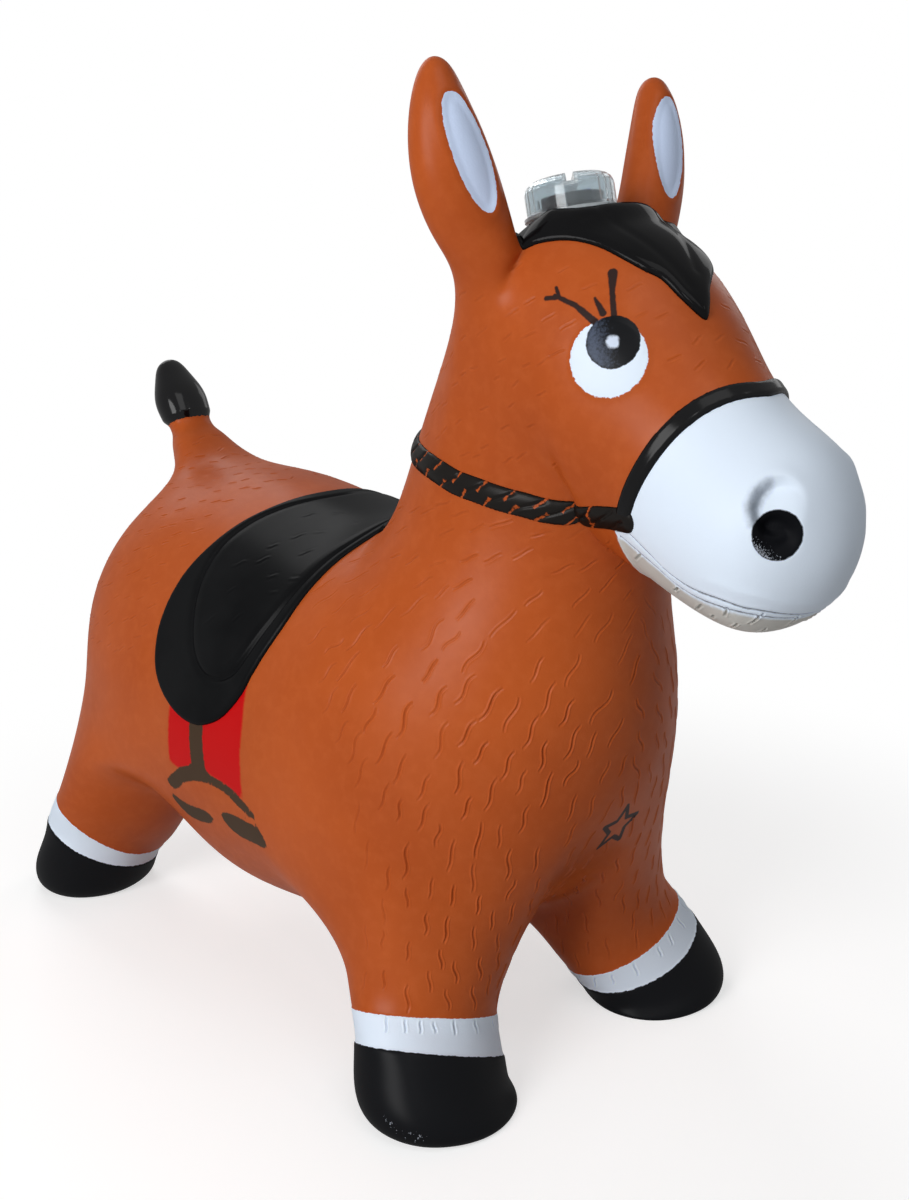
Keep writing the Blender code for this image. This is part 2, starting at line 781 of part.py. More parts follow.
def make_cap(frame, finish):
    """The clear cap: a domed drum with a coin slot sunk across it, a skirt and three lugs."""
    foot = rim_top() + SEAT_GAP
    top = foot + CAP_HEIGHT
    skirt = LEDGE_RADIUS - SEAT_GAP
    skirt_end = ledge_bottom() - SEAT_GAP - LUG_THICKNESS
    outside = [
        *cap_profile(CAP_RADIUS, top, foot, CAP_ROUND),
        (skirt, foot),
        (skirt, skirt_end),
        (0, skirt_end),
    ]
    cap = turned("module_cap", outside, frame, finish)
    reach = CAP_RADIUS + CUT_OVERRUN
    half = SLOT_WIDTH / 2
    slot = blocks(
        "coin_slot",
        [SLOT_TURN],
        (-reach, -half, top - SLOT_DEPTH),
        (reach, half, top + CUT_OVERRUN),
        frame,
    )
    combine(cap, "DIFFERENCE", slot)
    lug_low = (skirt - JOIN_OVERLAP, -LUG_WIDTH / 2, skirt_end)
    lug_high = (cup_inside() - LUG_CLEARANCE, LUG_WIDTH / 2, skirt_end + LUG_THICKNESS)
    combine(cap, "UNION", blocks("cap_lugs", spaced(CAP_LUGS), lug_low, lug_high, frame))
    inner_skirt = skirt - SKIRT_WALL
    ceiling = top - CAP_WALL
    hollow = turned(
        "cap_hollow",
        [
            *cap_profile(CAP_RADIUS - CAP_WALL, ceiling, foot + CAP_WALL, CAP_ROUND - CAP_WALL),
            (inner_skirt, foot + CAP_WALL),
            (inner_skirt, skirt_end - CUT_OVERRUN),
            (0, skirt_end - CUT_OVERRUN),
        ],
        frame,
    )
    trough = blocks(
        "slot_trough",
        [SLOT_TURN],
        (-reach, -half - CAP_WALL, top - SLOT_DEPTH - CAP_WALL),
        (reach, half + CAP_WALL, top + CUT_OVERRUN),
        frame,
    )
    combine(hollow, "DIFFERENCE", trough)
    combine(cap, "DIFFERENCE", hollow)


def make_tray(frame, finish):
    """The dark tray with a well for each cell and lamp, on three columns down to the cup's floor."""
    top = TRAY_BOTTOM + TRAY_HEIGHT
    profile = [(0, top), (TRAY_RADIUS, top), (TRAY_RADIUS, TRAY_BOTTOM), (0, TRAY_BOTTOM)]
    tray = turned("battery_tray", profile, frame, finish)
    columns = around(TRAY_COLUMN_CIRCLE, CELLS, CELL_START)
    column_end = cup_floor() + SEAT_GAP
    join = TRAY_BOTTOM + JOIN_OVERLAP
    combine(tray, "UNION", drums("tray_columns", columns, TRAY_COLUMN_RADIUS, column_end, join, frame))
    deck = TRAY_BOTTOM + TRAY_DECK
    above = top + CUT_OVERRUN
    cells = around(CELL_CIRCLE, CELLS, CELL_START)
    well = CELL_RADIUS + SEAT_GAP
    wells = drums("cell_wells", cells, well, deck, above, frame, steps=ROUND_STEPS)
    combine(tray, "DIFFERENCE", wells)
    lamps = around(LED_CIRCLE, CELLS, LED_START)
    well = LED_FLANGE_RADIUS + SEAT_GAP
    bottom = TRAY_BOTTOM - CUT_OVERRUN / 2
    combine(tray, "DIFFERENCE", drums("led_wells", lamps, well, bottom, above, frame))
    tab_inner = CELL_CIRCLE + CELL_RADIUS - SEAT_GAP
    tab_outer = CELL_CIRCLE + CELL_RADIUS + SEAT_GAP + CONTACT_THICKNESS + SEAT_GAP
    half = TAB_WIDTH / 2 + SEAT_GAP
    turns = spaced(CELLS, CELL_START)
    slots = blocks("tab_slots", turns, (tab_inner, -half, deck), (tab_outer, half, above), frame)
    combine(tray, "DIFFERENCE", slots)
    hole = SCREW_RADIUS + HOLE_CLEARANCE
    depth = SCREW_LENGTH + SEAT_GAP
    holes = drums("column_holes", columns, hole, column_end - CUT_OVERRUN, -CUP_DEPTH + depth, frame)
    combine(tray, "DIFFERENCE", holes)
    bite = board_top() + BOARD_SCREW_BITE + SEAT_GAP
    combine(tray, "DIFFERENCE", drums("board_screw_hole", [(0, 0)], hole, bottom, bite, frame))


def make_cells(frame, cell_finish, contact_finish):
    """Three button cells, each on a sprung pad and against a side tab."""
    deck = TRAY_BOTTOM + TRAY_DECK
    pad_low = deck + HOLE_CLEARANCE
    pad_high = pad_low + CONTACT_THICKNESS
    low = pad_high + HOLE_CLEARANCE
    high = low + CELL_THICKNESS
    profile = [
        (0, high),
        (CELL_RADIUS - CELL_EDGE, high),
        (CELL_RADIUS, high - CELL_EDGE),
        (CELL_RADIUS, low),
        (0, low),
    ]
    tab = CELL_CIRCLE + CELL_RADIUS + SEAT_GAP
    places = around(CELL_CIRCLE, CELLS, CELL_START)
    for i, turn in enumerate(spaced(CELLS, CELL_START)):
        cell = turned(f"button_cell_{i + 1}", profile, frame, cell_finish)
        cell.location = (*places[i], 0)
        blocks(
            f"cell_pad_{i + 1}",
            [turn],
            (CELL_CIRCLE - PAD_LENGTH / 2, -PAD_WIDTH / 2, pad_low),
            (CELL_CIRCLE + PAD_LENGTH / 2, PAD_WIDTH / 2, pad_high),
            frame,
            contact_finish,
        )
        blocks(
            f"cell_tab_{i + 1}",
            [turn],
            (tab, -TAB_WIDTH / 2, pad_low),
            (tab + CONTACT_THICKNESS, TAB_WIDTH / 2, pad_low + TAB_HEIGHT),
            frame,
            contact_finish,
        )


def make_board(frame, finishes):
    """The board, its three lamps and its chip."""
    low = board_bottom()
    top = board_top()
    profile = [(0, top), (BOARD_RADIUS, top), (BOARD_RADIUS, low), (0, low)]
    board = turned("circuit_board", profile, frame, finishes["board"])
    columns = around(TRAY_COLUMN_CIRCLE, CELLS, CELL_START)
    notch = TRAY_COLUMN_RADIUS + SEAT_GAP
    below = low - CUT_OVERRUN
    above = top + CUT_OVERRUN
    combine(board, "DIFFERENCE", drums("board_notches", columns, notch, below, above, frame))
    hole = SCREW_RADIUS + HOLE_CLEARANCE
    combine(board, "DIFFERENCE", drums("board_hole", [(0, 0)], hole, below, above, frame))
    base = top + SEAT_GAP
    profile = [
        (0, base + LED_HEIGHT),
        *arc((0, base + LED_HEIGHT - LED_RADIUS), LED_RADIUS, 90, 0)[1:],
        (LED_RADIUS, base + LED_FLANGE_HEIGHT),
        (LED_FLANGE_RADIUS, base + LED_FLANGE_HEIGHT),
        (LED_FLANGE_RADIUS, base),
        (0, base),
    ]
    for color, (x, y) in zip(("red", "green", "blue"), around(LED_CIRCLE, CELLS, LED_START)):
        lamp = turned(f"led_{color}", profile, frame, finishes[color], SMALL_STEPS)
        lamp.location = (x, y, 0)
    under = low - SEAT_GAP
    drop = under - CHIP_HEIGHT
    profile = [(0, under), (CHIP_RADIUS, under), (CHIP_RADIUS * CHIP_FLANK_SHARE, drop), (0, drop)]
    chip = turned("sound_chip", profile, frame, finishes["chip"], SMALL_STEPS)
    chip.location = (-CHIP_OFFSET, 0, 0)


def make_bounce_switch(frame, finish):
    """A fine spring hanging round a pin: a bounce swings it against the pin and starts the lamps."""
    under = board_bottom() - SEAT_GAP
    root = Matrix.Translation((SPRING_OFFSET, 0, under))
    swing = bpy.data.objects.new("spring_root", None)
    swing.empty_display_size = SPRING_LENGTH
    collection.objects.link(swing)
    swing.parent = frame
    swing.matrix_local = root
    steps = SPRING_TURNS * SPRING_POINTS_A_TURN
    lead = 2 * SPRING_WIRE_RADIUS
    coil = [(SPRING_RADIUS, 0, 0)]
    for i in range(steps + 1):
        turn = tau * i / SPRING_POINTS_A_TURN
        drop = lead + (SPRING_LENGTH - lead) * i / steps
        coil.append((SPRING_RADIUS * cos(turn), SPRING_RADIUS * sin(turn), -drop))
    rod_along("vibration_spring", coil, SPRING_WIRE_RADIUS, swing, finish)
    pin = [(0, under), (PIN_RADIUS, under), (PIN_RADIUS, under - PIN_LENGTH), (0, under - PIN_LENGTH)]
    post = turned("vibration_pin", pin, frame, finish, SMALL_STEPS)
    post.location = (SPRING_OFFSET, 0, 0)


def make_speaker(frame, finishes):
    """A small loudspeaker that faces up from the cup's floor, with two leads to the board."""
    low = cup_floor() + SEAT_GAP
    high = low + SPEAKER_HEIGHT
    step = high - SPEAKER_STEP
    hole = MAGNET_RADIUS + SEAT_GAP
    lip = SPEAKER_RADIUS - SPEAKER_LIP
    bore = SPEAKER_RADIUS - SPEAKER_WALL
    profile = [
        (lip, high),
        (SPEAKER_RADIUS, high),
        (SPEAKER_RADIUS, low),
        (hole, low),
        (hole, low + SPEAKER_FLOOR),
        (bore, low + SPEAKER_FLOOR),
        (bore, step),
        (lip, step),
    ]
    turned("speaker_frame", profile, frame, finishes["frame"])
    top = low + MAGNET_HEIGHT
    magnet = [(0, top), (MAGNET_RADIUS, top), (MAGNET_RADIUS, low), (0, low)]
    turned("speaker_magnet", magnet, frame, finishes["magnet"])
    rest = step + SEAT_GAP
    edge = lip - SEAT_GAP
    dome = [
        (0, rest + CONE_RISE + CONE_THICKNESS),
        (edge * DOME_SHARE, rest + CONE_THICKNESS),
        (edge, rest + CONE_THICKNESS),
        (edge, rest),
        (edge * DOME_SHARE, rest),
        (0, rest + CONE_RISE),
    ]
    turned("speaker_cone", dome, frame, finishes["cone"])
    start = board_bottom() - SEAT_GAP
    end = high + SEAT_GAP
    landing = SPEAKER_RADIUS - SPEAKER_LIP / 2
    for name, side in (("speaker_wire_1", -1), ("speaker_wire_2", 1)):
        points = []
        for i in range(WIRE_POINTS + 1):
            down = i / WIRE_POINTS
            ease = down * down * (3 - 2 * down)
            y = -(WIRE_START + (landing - WIRE_START) * ease)
            points.append((side * WIRE_SPACING / 2, y, start + (end - start) * down))
        rod_along(name, points, WIRE_RADIUS, frame, finishes["wire"])


def screw_profile(seat, tip):
    """A screw driven upwards: the head under its seat, the shank up to the tip."""
    under = seat - SEAT_GAP
    return [
        (0, tip),
        (SCREW_RADIUS, tip),
        (SCREW_RADIUS, under),
        (SCREW_HEAD_RADIUS, under),
        (SCREW_HEAD_RADIUS, under - SCREW_HEAD_HEIGHT),
        (0, under - SCREW_HEAD_HEIGHT),
    ]


def make_screws(frame, finish):
    profile = screw_profile(-CUP_DEPTH, -CUP_DEPTH + SCREW_LENGTH)
    for i, (x, y) in enumerate(around(TRAY_COLUMN_CIRCLE, CELLS, CELL_START)):
        screw = turned(f"tray_screw_{i + 1}", profile, frame, finish, SMALL_STEPS)
        screw.location = (x, y, 0)
    profile = screw_profile(board_bottom(), board_top() + BOARD_SCREW_BITE)
    turned("board_screw", profile, frame, finish, SMALL_STEPS)


# Valve under the belly


def make_valve(skin, frame, finish):
    """The valve's boss and hole in the skin, and the ribbed plug that stops it."""
    boss_low = SKIN_WALL / 2
    radius = VALVE_BOSS_RADIUS
    boss = turned(
        "valve_boss",
        [(0, VALVE_BOSS_HEIGHT), (radius, VALVE_BOSS_HEIGHT), (radius, boss_low), (0, boss_low)],
        frame,
    )
    combine(skin, "UNION", boss)
    bore = PLUG_RIB_RADIUS + SEAT_GAP
    profile = [
        (0, VALVE_BOSS_HEIGHT + CUT_OVERRUN),
        (bore, VALVE_BOSS_HEIGHT + CUT_OVERRUN),
        (bore, VALVE_RECESS_DEPTH),
        (VALVE_RECESS_RADIUS, VALVE_RECESS_DEPTH),
        (VALVE_RECESS_RADIUS, -CUT_OVERRUN),
        (0, -CUT_OVERRUN),
    ]
    combine(skin, "DIFFERENCE", turned("valve_bore", profile, frame))
    head_top = VALVE_RECESS_DEPTH - SEAT_GAP
    head_low = head_top - PLUG_HEAD_THICKNESS
    head_radius = VALVE_RECESS_RADIUS - SEAT_GAP
    tip = head_top + PLUG_LENGTH
    ribs = []
    for i in range(PLUG_RIBS, 0, -1):
        foot = head_top + i * (PLUG_LENGTH - PLUG_RIB_HEIGHT) / (PLUG_RIBS + 1)
        ribs.append((PLUG_STEM_RADIUS, foot + PLUG_RIB_HEIGHT))
        ribs.append((PLUG_RIB_RADIUS, foot))
        ribs.append((PLUG_STEM_RADIUS, foot))
    profile = [
        (0, tip),
        (PLUG_TIP_RADIUS, tip),
        *ribs,
        (PLUG_STEM_RADIUS, head_top),
        (head_radius, head_top),
        (head_radius, head_low),
        (0, head_low),
    ]
    turned("valve_plug", profile, frame, finish, PLUG_STEPS)


def make_part():
    start_scene()
    brown = material("brown_pvc", (0.431, 0.089, 0.019), 0.42)
    white = material("white_plastic", (0.80, 0.80, 0.78), 0.35)
    milky = material("milky_plastic", (0.62, 0.68, 0.70), 0.30, transmission=0.4)
    clear = material("clear_plastic", (0.90, 0.93, 0.94), 0.08, transmission=0.9)
    dark = material("dark_plastic", (0.020, 0.022, 0.026), 0.45)
    steel = material("steel", (0.62, 0.63, 0.65), 0.28, metallic=1.0)
    brass = material("brass", (0.70, 0.52, 0.24), 0.30, metallic=1.0)
    finishes = {
        "board": material("green_board", (0.020, 0.130, 0.060), 0.40),
        "red": material("red_lens", (0.70, 0.02, 0.02), 0.15, transmission=0.6),
        "green": material("green_lens", (0.05, 0.60, 0.08), 0.15, transmission=0.6),
        "blue": material("blue_lens", (0.03, 0.10, 0.75), 0.15, transmission=0.6),
        "chip": material("black_epoxy", (0.012, 0.012, 0.013), 0.25),
        "frame": material("grey_plastic", (0.16, 0.16, 0.17), 0.50),
        "magnet": material("magnet", (0.30, 0.30, 0.31), 0.35, metallic=1.0),
        "cone": material("clear_film", (0.55, 0.50, 0.42), 0.25, transmission=0.3),
        "wire": material("wire_pvc", (0.45, 0.02, 0.02), 0.45),
    }
    skin, crown, belly = make_skin(brown)
    module = add_empty("module_axis", crown, Matrix.Rotation(radians(-MODULE_TILT), 4, "X"))
    valve = add_empty("valve_axis", belly)
    make_pocket(skin, module)
    make_valve(skin, valve, white)
    make_cup(module, milky)
    make_cap(module, clear)
    make_tray(module, dark)
    make_cells(module, steel, brass)
    make_board(module, finishes)
    make_bounce_switch(module, steel)
    make_speaker(module, finishes)
    make_screws(module, steel)


make_part()
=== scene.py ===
"""The looks of the inflatable hopping horse: painted skin, raised tack and the clear light module.

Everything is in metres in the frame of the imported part: the horse faces -Y, +X is its left side and
+Z is up. Angles are in degrees. MM turns millimetres into metres.
"""

import json
from collections import namedtuple
from math import cos, pi, radians, sin, sqrt, tau
from random import Random

import bmesh
import bpy
import numpy as np
from mathutils import Matrix, Vector
from mathutils.bvhtree import BVHTree
from mathutils.kdtree import KDTree


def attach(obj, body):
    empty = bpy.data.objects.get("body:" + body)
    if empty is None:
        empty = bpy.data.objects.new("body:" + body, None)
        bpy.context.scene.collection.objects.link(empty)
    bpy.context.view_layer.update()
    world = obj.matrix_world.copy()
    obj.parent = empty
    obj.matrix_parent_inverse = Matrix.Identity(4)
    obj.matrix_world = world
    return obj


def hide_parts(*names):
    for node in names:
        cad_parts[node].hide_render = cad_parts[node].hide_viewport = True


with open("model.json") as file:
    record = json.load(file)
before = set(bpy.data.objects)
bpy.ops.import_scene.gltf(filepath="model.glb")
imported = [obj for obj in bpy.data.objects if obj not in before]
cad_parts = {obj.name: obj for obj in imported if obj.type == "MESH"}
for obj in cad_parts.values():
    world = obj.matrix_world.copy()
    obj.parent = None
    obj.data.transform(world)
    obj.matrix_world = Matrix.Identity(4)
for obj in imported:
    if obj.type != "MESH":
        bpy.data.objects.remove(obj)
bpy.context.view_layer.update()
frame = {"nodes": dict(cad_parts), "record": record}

MM = 0.001

# Shape of the blown-up skin, with the same sizes as the part
BARREL_LENGTH = 0.290
BARREL_WIDTH = 0.234
BARREL_DEPTH = 0.245
BARREL_HEIGHT = 0.156
RUMP_BULGE = 0.014
NECK_REACH = 0.033
NECK_RISE = 0.130
NECK_WIDTH = 0.115
NECK_DEPTH = 0.140
HEAD_LENGTH = 0.070
HEAD_RISE = 0.058
HEAD_WIDTH = 0.116
HEAD_DEPTH = 0.161
MUZZLE_LENGTH = 0.083
MUZZLE_DROP = 0.058
MUZZLE_WIDTH = 0.093
MUZZLE_DEPTH = 0.098
NOSE_BULGE = 0.020

# Stations along the tube: way along, rise, tilt in degrees, width and depth as shares
BARREL_SHARES = (
    (0.00, 1.30, -19, 0.36, 0.34),
    (0.04, 1.19, -9, 0.73, 0.68),
    (0.16, 1.08, 0, 0.93, 0.91),
    (0.315, 1.035, -3, 1.00, 1.00),
    (0.495, 0.97, -5, 1.00, 1.00),
    (0.67, 0.97, -6, 0.985, 0.975),
    (0.85, 1.035, 4, 0.965, 0.95),
    (1.00, 1.155, 27, 0.92, 0.91),
)
NECK_SHARES = (
    (0.73, 0.295, 52, 1.62, 1.375),
    (0.86, 0.63, 66, 1.205, 1.09),
    (1.00, 1.00, 67, 1.00, 1.00),
)
HEAD_SHARES = (
    (0.215, 0.645, 51, 0.965, 0.935),
    (0.60, 1.00, 19, 1.00, 1.00),
    (1.00, 0.73, -12, 0.97, 0.905),
)
MUZZLE_SHARES = (
    (0.26, -0.505, -32, 0.945, 1.055),
    (0.595, -0.77, -29, 1.00, 1.00),
    (1.00, -1.00, -17, 0.975, 0.92),
)

# Legs: stages down the leg, as way down, way out, which radius and its share, and the lean left
LEG_SHARES = (
    (0.00, 0.00, "root", 1.00, 1.00),
    (0.32, 0.36, "shin", 1.00, 1.00),
    (0.50, 0.58, "shin", 1.00, 1.00),
    (0.66, 0.77, "hoof", 0.98, 0.90),
    (0.84, 0.94, "hoof", 1.03, 0.50),
    (0.955, 1.00, "hoof", 0.97, 0.15),
    (1.00, 1.00, "hoof", 0.78, 0.00),
    (1.00, 1.00, "hoof", 0.50, 0.00),
)
Leg = namedtuple("Leg", "root foot radii splay rake")
FORE_LEG = Leg(
    root=Vector((0.066, -0.0115, 0.057)),
    foot=Vector((0.086, -0.049, 0)),
    radii={"root": 0.041, "shin": 0.0405, "hoof": 0.040},
    splay=22,
    rake=10,
)
HIND_LEG = Leg(
    root=Vector((0.080, -0.050, 0.091)),
    foot=Vector((0.086, 0.006, 0)),
    radii={"root": 0.045, "shin": 0.042, "hoof": 0.037},
    splay=28,
    rake=-15,
)

# Ears from the poll, and the tail from the middle of the rump's end
EAR_ROOT = Vector((0.047, -0.013, 0.099))
EAR_MIDDLE = Vector((0.069, -0.008, 0.143))
EAR_TIP = Vector((0.0715, 0, 0.193))
EAR_WIDTHS = {"root": 0.026, "blade": 0.040}
EAR_THICKNESS = 0.030
EAR_TURN = 17
EAR_SHARES = (
    (0.00, "root", 1.00, 1.25),
    (0.25, "blade", 0.95, 1.00),
    (0.50, "blade", 1.00, 1.00),
    (0.75, "blade", 0.72, 0.80),
    (0.93, "blade", 0.34, 0.50),
)
EAR_TIP_SHARE = 0.3
TAIL_ROOT = Vector((0, -0.005, 0.096))
TAIL_TIP = Vector((0, 0.021, 0.139))
TAIL_RADII = {"root": 0.0118, "tuft": 0.0125}
TAIL_SHARES = (
    (0.00, "root", 1.15),
    (0.25, "root", 1.00),
    (0.45, "tuft", 1.00),
    (0.70, "tuft", 0.85),
    (0.95, "tuft", 0.55),
)

# The control cage, as in the part
TUBE_SIDES = 12
LEG_SIDES = 10
EAR_SIDES = 8
TAIL_SIDES = 6
POLL_STATION = 10
FORE_SPAN = (5, 8)
HIND_SPAN = (1, 4)
EAR_SPAN = (10, 12)
TAIL_SPAN = (0, 2)
LEG_COLUMNS = (3, 4, 5)
EAR_COLUMNS = (0, 1, 2)
TAIL_COLUMNS = (11, 0)
MIDDLE_SHARE = 0.30
SKIN_LEVELS = 4

# The module's pocket in the crown and the valve's recess under the belly, as in the part
MODULE_PLACE = Vector((0, -0.111819, 0.432153))
MODULE_TILT = 13
POCKET_RADIUS = 0.0203
POCKET_DEPTH = 0.0189
RIM_RADIUS = 0.0225
VALVE_PLACE = Vector((0, 0.083022, 0.031756))
VALVE_RECESS_RADIUS = 0.0090
VALVE_RECESS_DEPTH = 0.0023
VALVE_BORE_RADIUS = 0.0046
VALVE_BORE_DEPTH = 0.0160

scene = bpy.context.scene


def link(name, mesh):
    piece = bpy.data.objects.new(name, mesh)
    scene.collection.objects.link(piece)
    return piece


# The skin's control cage


class Cage:
    """Control points, and faces kept by name so that a limb can open the ones it grows from."""

    def __init__(self):
        self.points = []
        self.faces = {}

    def add(self, points):
        first = len(self.points)
        self.points.extend(Vector(point) for point in points)
        return list(range(first, len(self.points)))

    def bridge(self, name, loop, other):
        for i in range(len(loop)):
            j = (i + 1) % len(loop)
            self.faces[(*name, i)] = [loop[i], loop[j], other[j], other[i]]

    def grid(self, name, rows):
        for i, (row, below) in enumerate(zip(rows, rows[1:])):
            for j in range(len(row) - 1):
                self.faces[(*name, i, j)] = [row[j], row[j + 1], below[j + 1], below[j]]


def control(size, sides):
    return size / ((2 + cos(tau / sides)) / 3)


def tube_ring(y, z, tilt, width, depth):
    up = Vector((0, sin(radians(tilt)), cos(radians(tilt))))
    points = []
    for i in range(TUBE_SIDES):
        turn = tau * (i + 0.5) / TUBE_SIDES
        across = control(width / 2, TUBE_SIDES) * sin(turn)
        high = control(depth / 2, TUBE_SIDES) * cos(turn)
        points.append(Vector((across, y, z)) + up * high)
    return points


def tube_stations():
    stations = []
    for along, rise, tilt, width, depth in BARREL_SHARES:
        spot = (-along * BARREL_LENGTH, rise * BARREL_HEIGHT)
        stations.append((*spot, tilt, width * BARREL_WIDTH, depth * BARREL_DEPTH))
    for shares, length, height, wide, deep in (
        (NECK_SHARES, NECK_REACH, NECK_RISE, NECK_WIDTH, NECK_DEPTH),
        (HEAD_SHARES, HEAD_LENGTH, HEAD_RISE, HEAD_WIDTH, HEAD_DEPTH),
        (MUZZLE_SHARES, MUZZLE_LENGTH, MUZZLE_DROP, MUZZLE_WIDTH, MUZZLE_DEPTH),
    ):
        y, z = stations[-1][:2]
        for along, rise, tilt, width, depth in shares:
            stations.append((y - along * length, z + rise * height, tilt, width * wide, depth * deep))
    return stations


def close_tube(cage, name, ring, out):
    spots = [cage.points[i] for i in ring]
    centre = sum(spots, Vector()) / len(spots)
    across = (spots[2] + spots[3]) / 2 - centre
    up = (spots[11] + spots[0]) / 2 - centre
    corners = []
    for high in (1, -1):
        for side in (-1, 1):
            corners.append(centre + (across * side + up * high) * MIDDLE_SHARE + out)
    middle = cage.add(corners)
    rows = (
        (ring[10], ring[11], ring[0], ring[1]),
        (ring[9], middle[0], middle[1], ring[2]),
        (ring[8], middle[2], middle[3], ring[3]),
        (ring[7], ring[6], ring[5], ring[4]),
    )
    cage.grid((name,), rows)


def disk_spot(row, rows, column, columns):
    u = 1 - 2 * row / (rows - 1)
    v = 2 * column / (columns - 1) - 1
    return u * sqrt(1 - v * v / 2), v * sqrt(1 - u * u / 2)


def grow_limb(cage, name, rings, span, columns, sections, tip):
    """Opens the tube where a limb grows, and lofts the limb through (centre, along, across) sections."""
    first, last = span
    grid = [[rings[i][column] for column in columns] for i in range(first, last + 1)]
    for i in range(first, last):
        for left, right in zip(columns, columns[1:]):
            low = left if (left + 1) % TUBE_SIDES == right else right
            del cage.faces["tube", i, low]
    rows = len(grid)
    wide = len(columns)
    edge = [(0, j) for j in range(wide)]
    edge += [(i, wide - 1) for i in range(1, rows)]
    edge += [(rows - 1, j) for j in range(wide - 2, -1, -1)]
    edge += [(i, 0) for i in range(rows - 2, 0, -1)]
    loop = [grid[i][j] for i, j in edge]
    spots = {}
    for number, (centre, along, across) in enumerate(sections):
        for i in range(rows):
            for j in range(wide):
                u, v = disk_spot(i, rows, j, wide)
                spots[i, j] = centre + along * u + across * v
        outer = cage.add([spots[spot] for spot in edge])
        cage.bridge((name, number), loop, outer)
        loop = outer
    ids = dict(zip(edge, loop))
    inner = [spot for spot in spots if spot not in ids]
    ids.update(zip(inner, cage.add([spots[spot] + tip for spot in inner])))
    cage.grid((name, "end"), [[ids[i, j] for j in range(wide)] for i in range(rows)])


def flipped(vector, side):
    return Vector((vector.x * side, vector.y, vector.z))


def leg_sections(leg, start, side):
    root = start + leg.root
    foot = start + leg.foot
    sections = []
    for down, out, part, share, lean in LEG_SHARES:
        splay = radians(leg.splay * lean)
        rake = radians(leg.rake * lean)
        reach = control(leg.radii[part] * share, LEG_SIDES)
        across = Vector((cos(splay), 0, sin(splay))) * reach
        along = Vector((0, cos(rake), sin(rake))) * reach
        centre = root.lerp(foot, out)
        centre.z = root.z + (foot.z - root.z) * down
        sections.append((flipped(centre, side), along, flipped(-across, side)))
    return sections


def ear_sections(poll, side):
    root = poll + EAR_ROOT
    tip = poll + EAR_TIP
    bend = (poll + EAR_MIDDLE) * 2 - (root + tip) / 2
    face = Vector((cos(radians(EAR_TURN)), sin(radians(EAR_TURN)), 0))
    sections = []
    for up, part, share, thickness in EAR_SHARES:
        centre = root.lerp(bend, up).lerp(bend.lerp(tip, up), up)
        heading = (bend.lerp(tip, up) - root.lerp(bend, up)).normalized()
        across = (face - heading * face.dot(heading)).normalized()
        through = heading.cross(across)
        if through.y < 0:
            through.negate()
        through *= control(EAR_THICKNESS * thickness / 2, EAR_SIDES)
        across *= control(EAR_WIDTHS[part] * share / 2, EAR_SIDES)
        sections.append(tuple(flipped(vector, side) for vector in (centre, through, across)))
    return sections


def tail_sections(rump):
    root = rump + TAIL_ROOT
    tip = rump + TAIL_TIP
    heading = (tip - root).normalized()
    back = Vector((0, heading.z, -heading.y))
    sections = []
    for up, part, share in TAIL_SHARES:
        reach = control(TAIL_RADII[part] * share, TAIL_SIDES)
        sections.append((root.lerp(tip, up), back * reach, Vector((reach, 0, 0))))
    return sections


def horse_cage():
    cage = Cage()
    stations = tube_stations()
    rings = [cage.add(tube_ring(*station)) for station in stations]
    for i, (ring, ahead) in enumerate(zip(rings, rings[1:])):
        cage.bridge(("tube", i), ring, ahead)
    close_tube(cage, "rump", rings[0], Vector((0, RUMP_BULGE, 0)))
    nose_tilt = radians(stations[-1][2])
    close_tube(cage, "nose", rings[-1], Vector((0, -cos(nose_tilt), sin(nose_tilt))) * NOSE_BULGE)
    rump = Vector((0, stations[0][0], 0))
    chest = Vector((0, stations[len(BARREL_SHARES) - 1][0], 0))
    poll = Vector((0, *stations[POLL_STATION][:2]))
    for side in (1, -1):
        mirrored = [TUBE_SIDES - 1 - column for column in LEG_COLUMNS]
        legs = LEG_COLUMNS if side > 0 else mirrored
        mirrored = [TUBE_SIDES - 1 - column for column in EAR_COLUMNS]
        ears = EAR_COLUMNS if side > 0 else mirrored
        level = Vector()
        grow_limb(cage, f"fore{side}", rings, FORE_SPAN, legs, leg_sections(FORE_LEG, chest, side), level)
        grow_limb(cage, f"hind{side}", rings, HIND_SPAN, legs, leg_sections(HIND_LEG, rump, side), level)
        sections = ear_sections(poll, side)
        tip = (sections[-1][0] - sections[-2][0]) * EAR_TIP_SHARE
        grow_limb(cage, f"ear{side}", rings, EAR_SPAN, ears, sections, tip)
    sections = tail_sections(Vector((0, *stations[0][:2])))
    grow_limb(cage, "tail", rings, TAIL_SPAN, TAIL_COLUMNS, sections, Vector())
    return cage


# Mesh arrays and the smooth body that everything is laid on


def cleaned(mesh):
    shape = bmesh.new()
    shape.from_mesh(mesh)
    bmesh.ops.delete(shape, geom=[v for v in shape.verts if not v.link_faces], context="VERTS")
    bmesh.ops.recalc_face_normals(shape, faces=shape.faces)
    shape.to_mesh(mesh)
    shape.free()


def with_modifiers(piece):
    """A new mesh of the piece with its modifiers applied."""
    depsgraph = bpy.context.evaluated_depsgraph_get()
    return bpy.data.meshes.new_from_object(piece.evaluated_get(depsgraph), depsgraph=depsgraph)


def subdivided(mesh, levels):
    """A new mesh, smoothed by the given number of levels."""
    piece = link("work", mesh)
    smooth = piece.modifiers.new("Smooth", "SUBSURF")
    smooth.levels = levels
    smooth.render_levels = levels
    made = with_modifiers(piece)
    bpy.data.objects.remove(piece)
    return made


def read_vectors(items, key):
    flat = np.empty(len(items) * 3, np.float32)
    items.foreach_get(key, flat)
    return flat.reshape(-1, 3).astype(float)


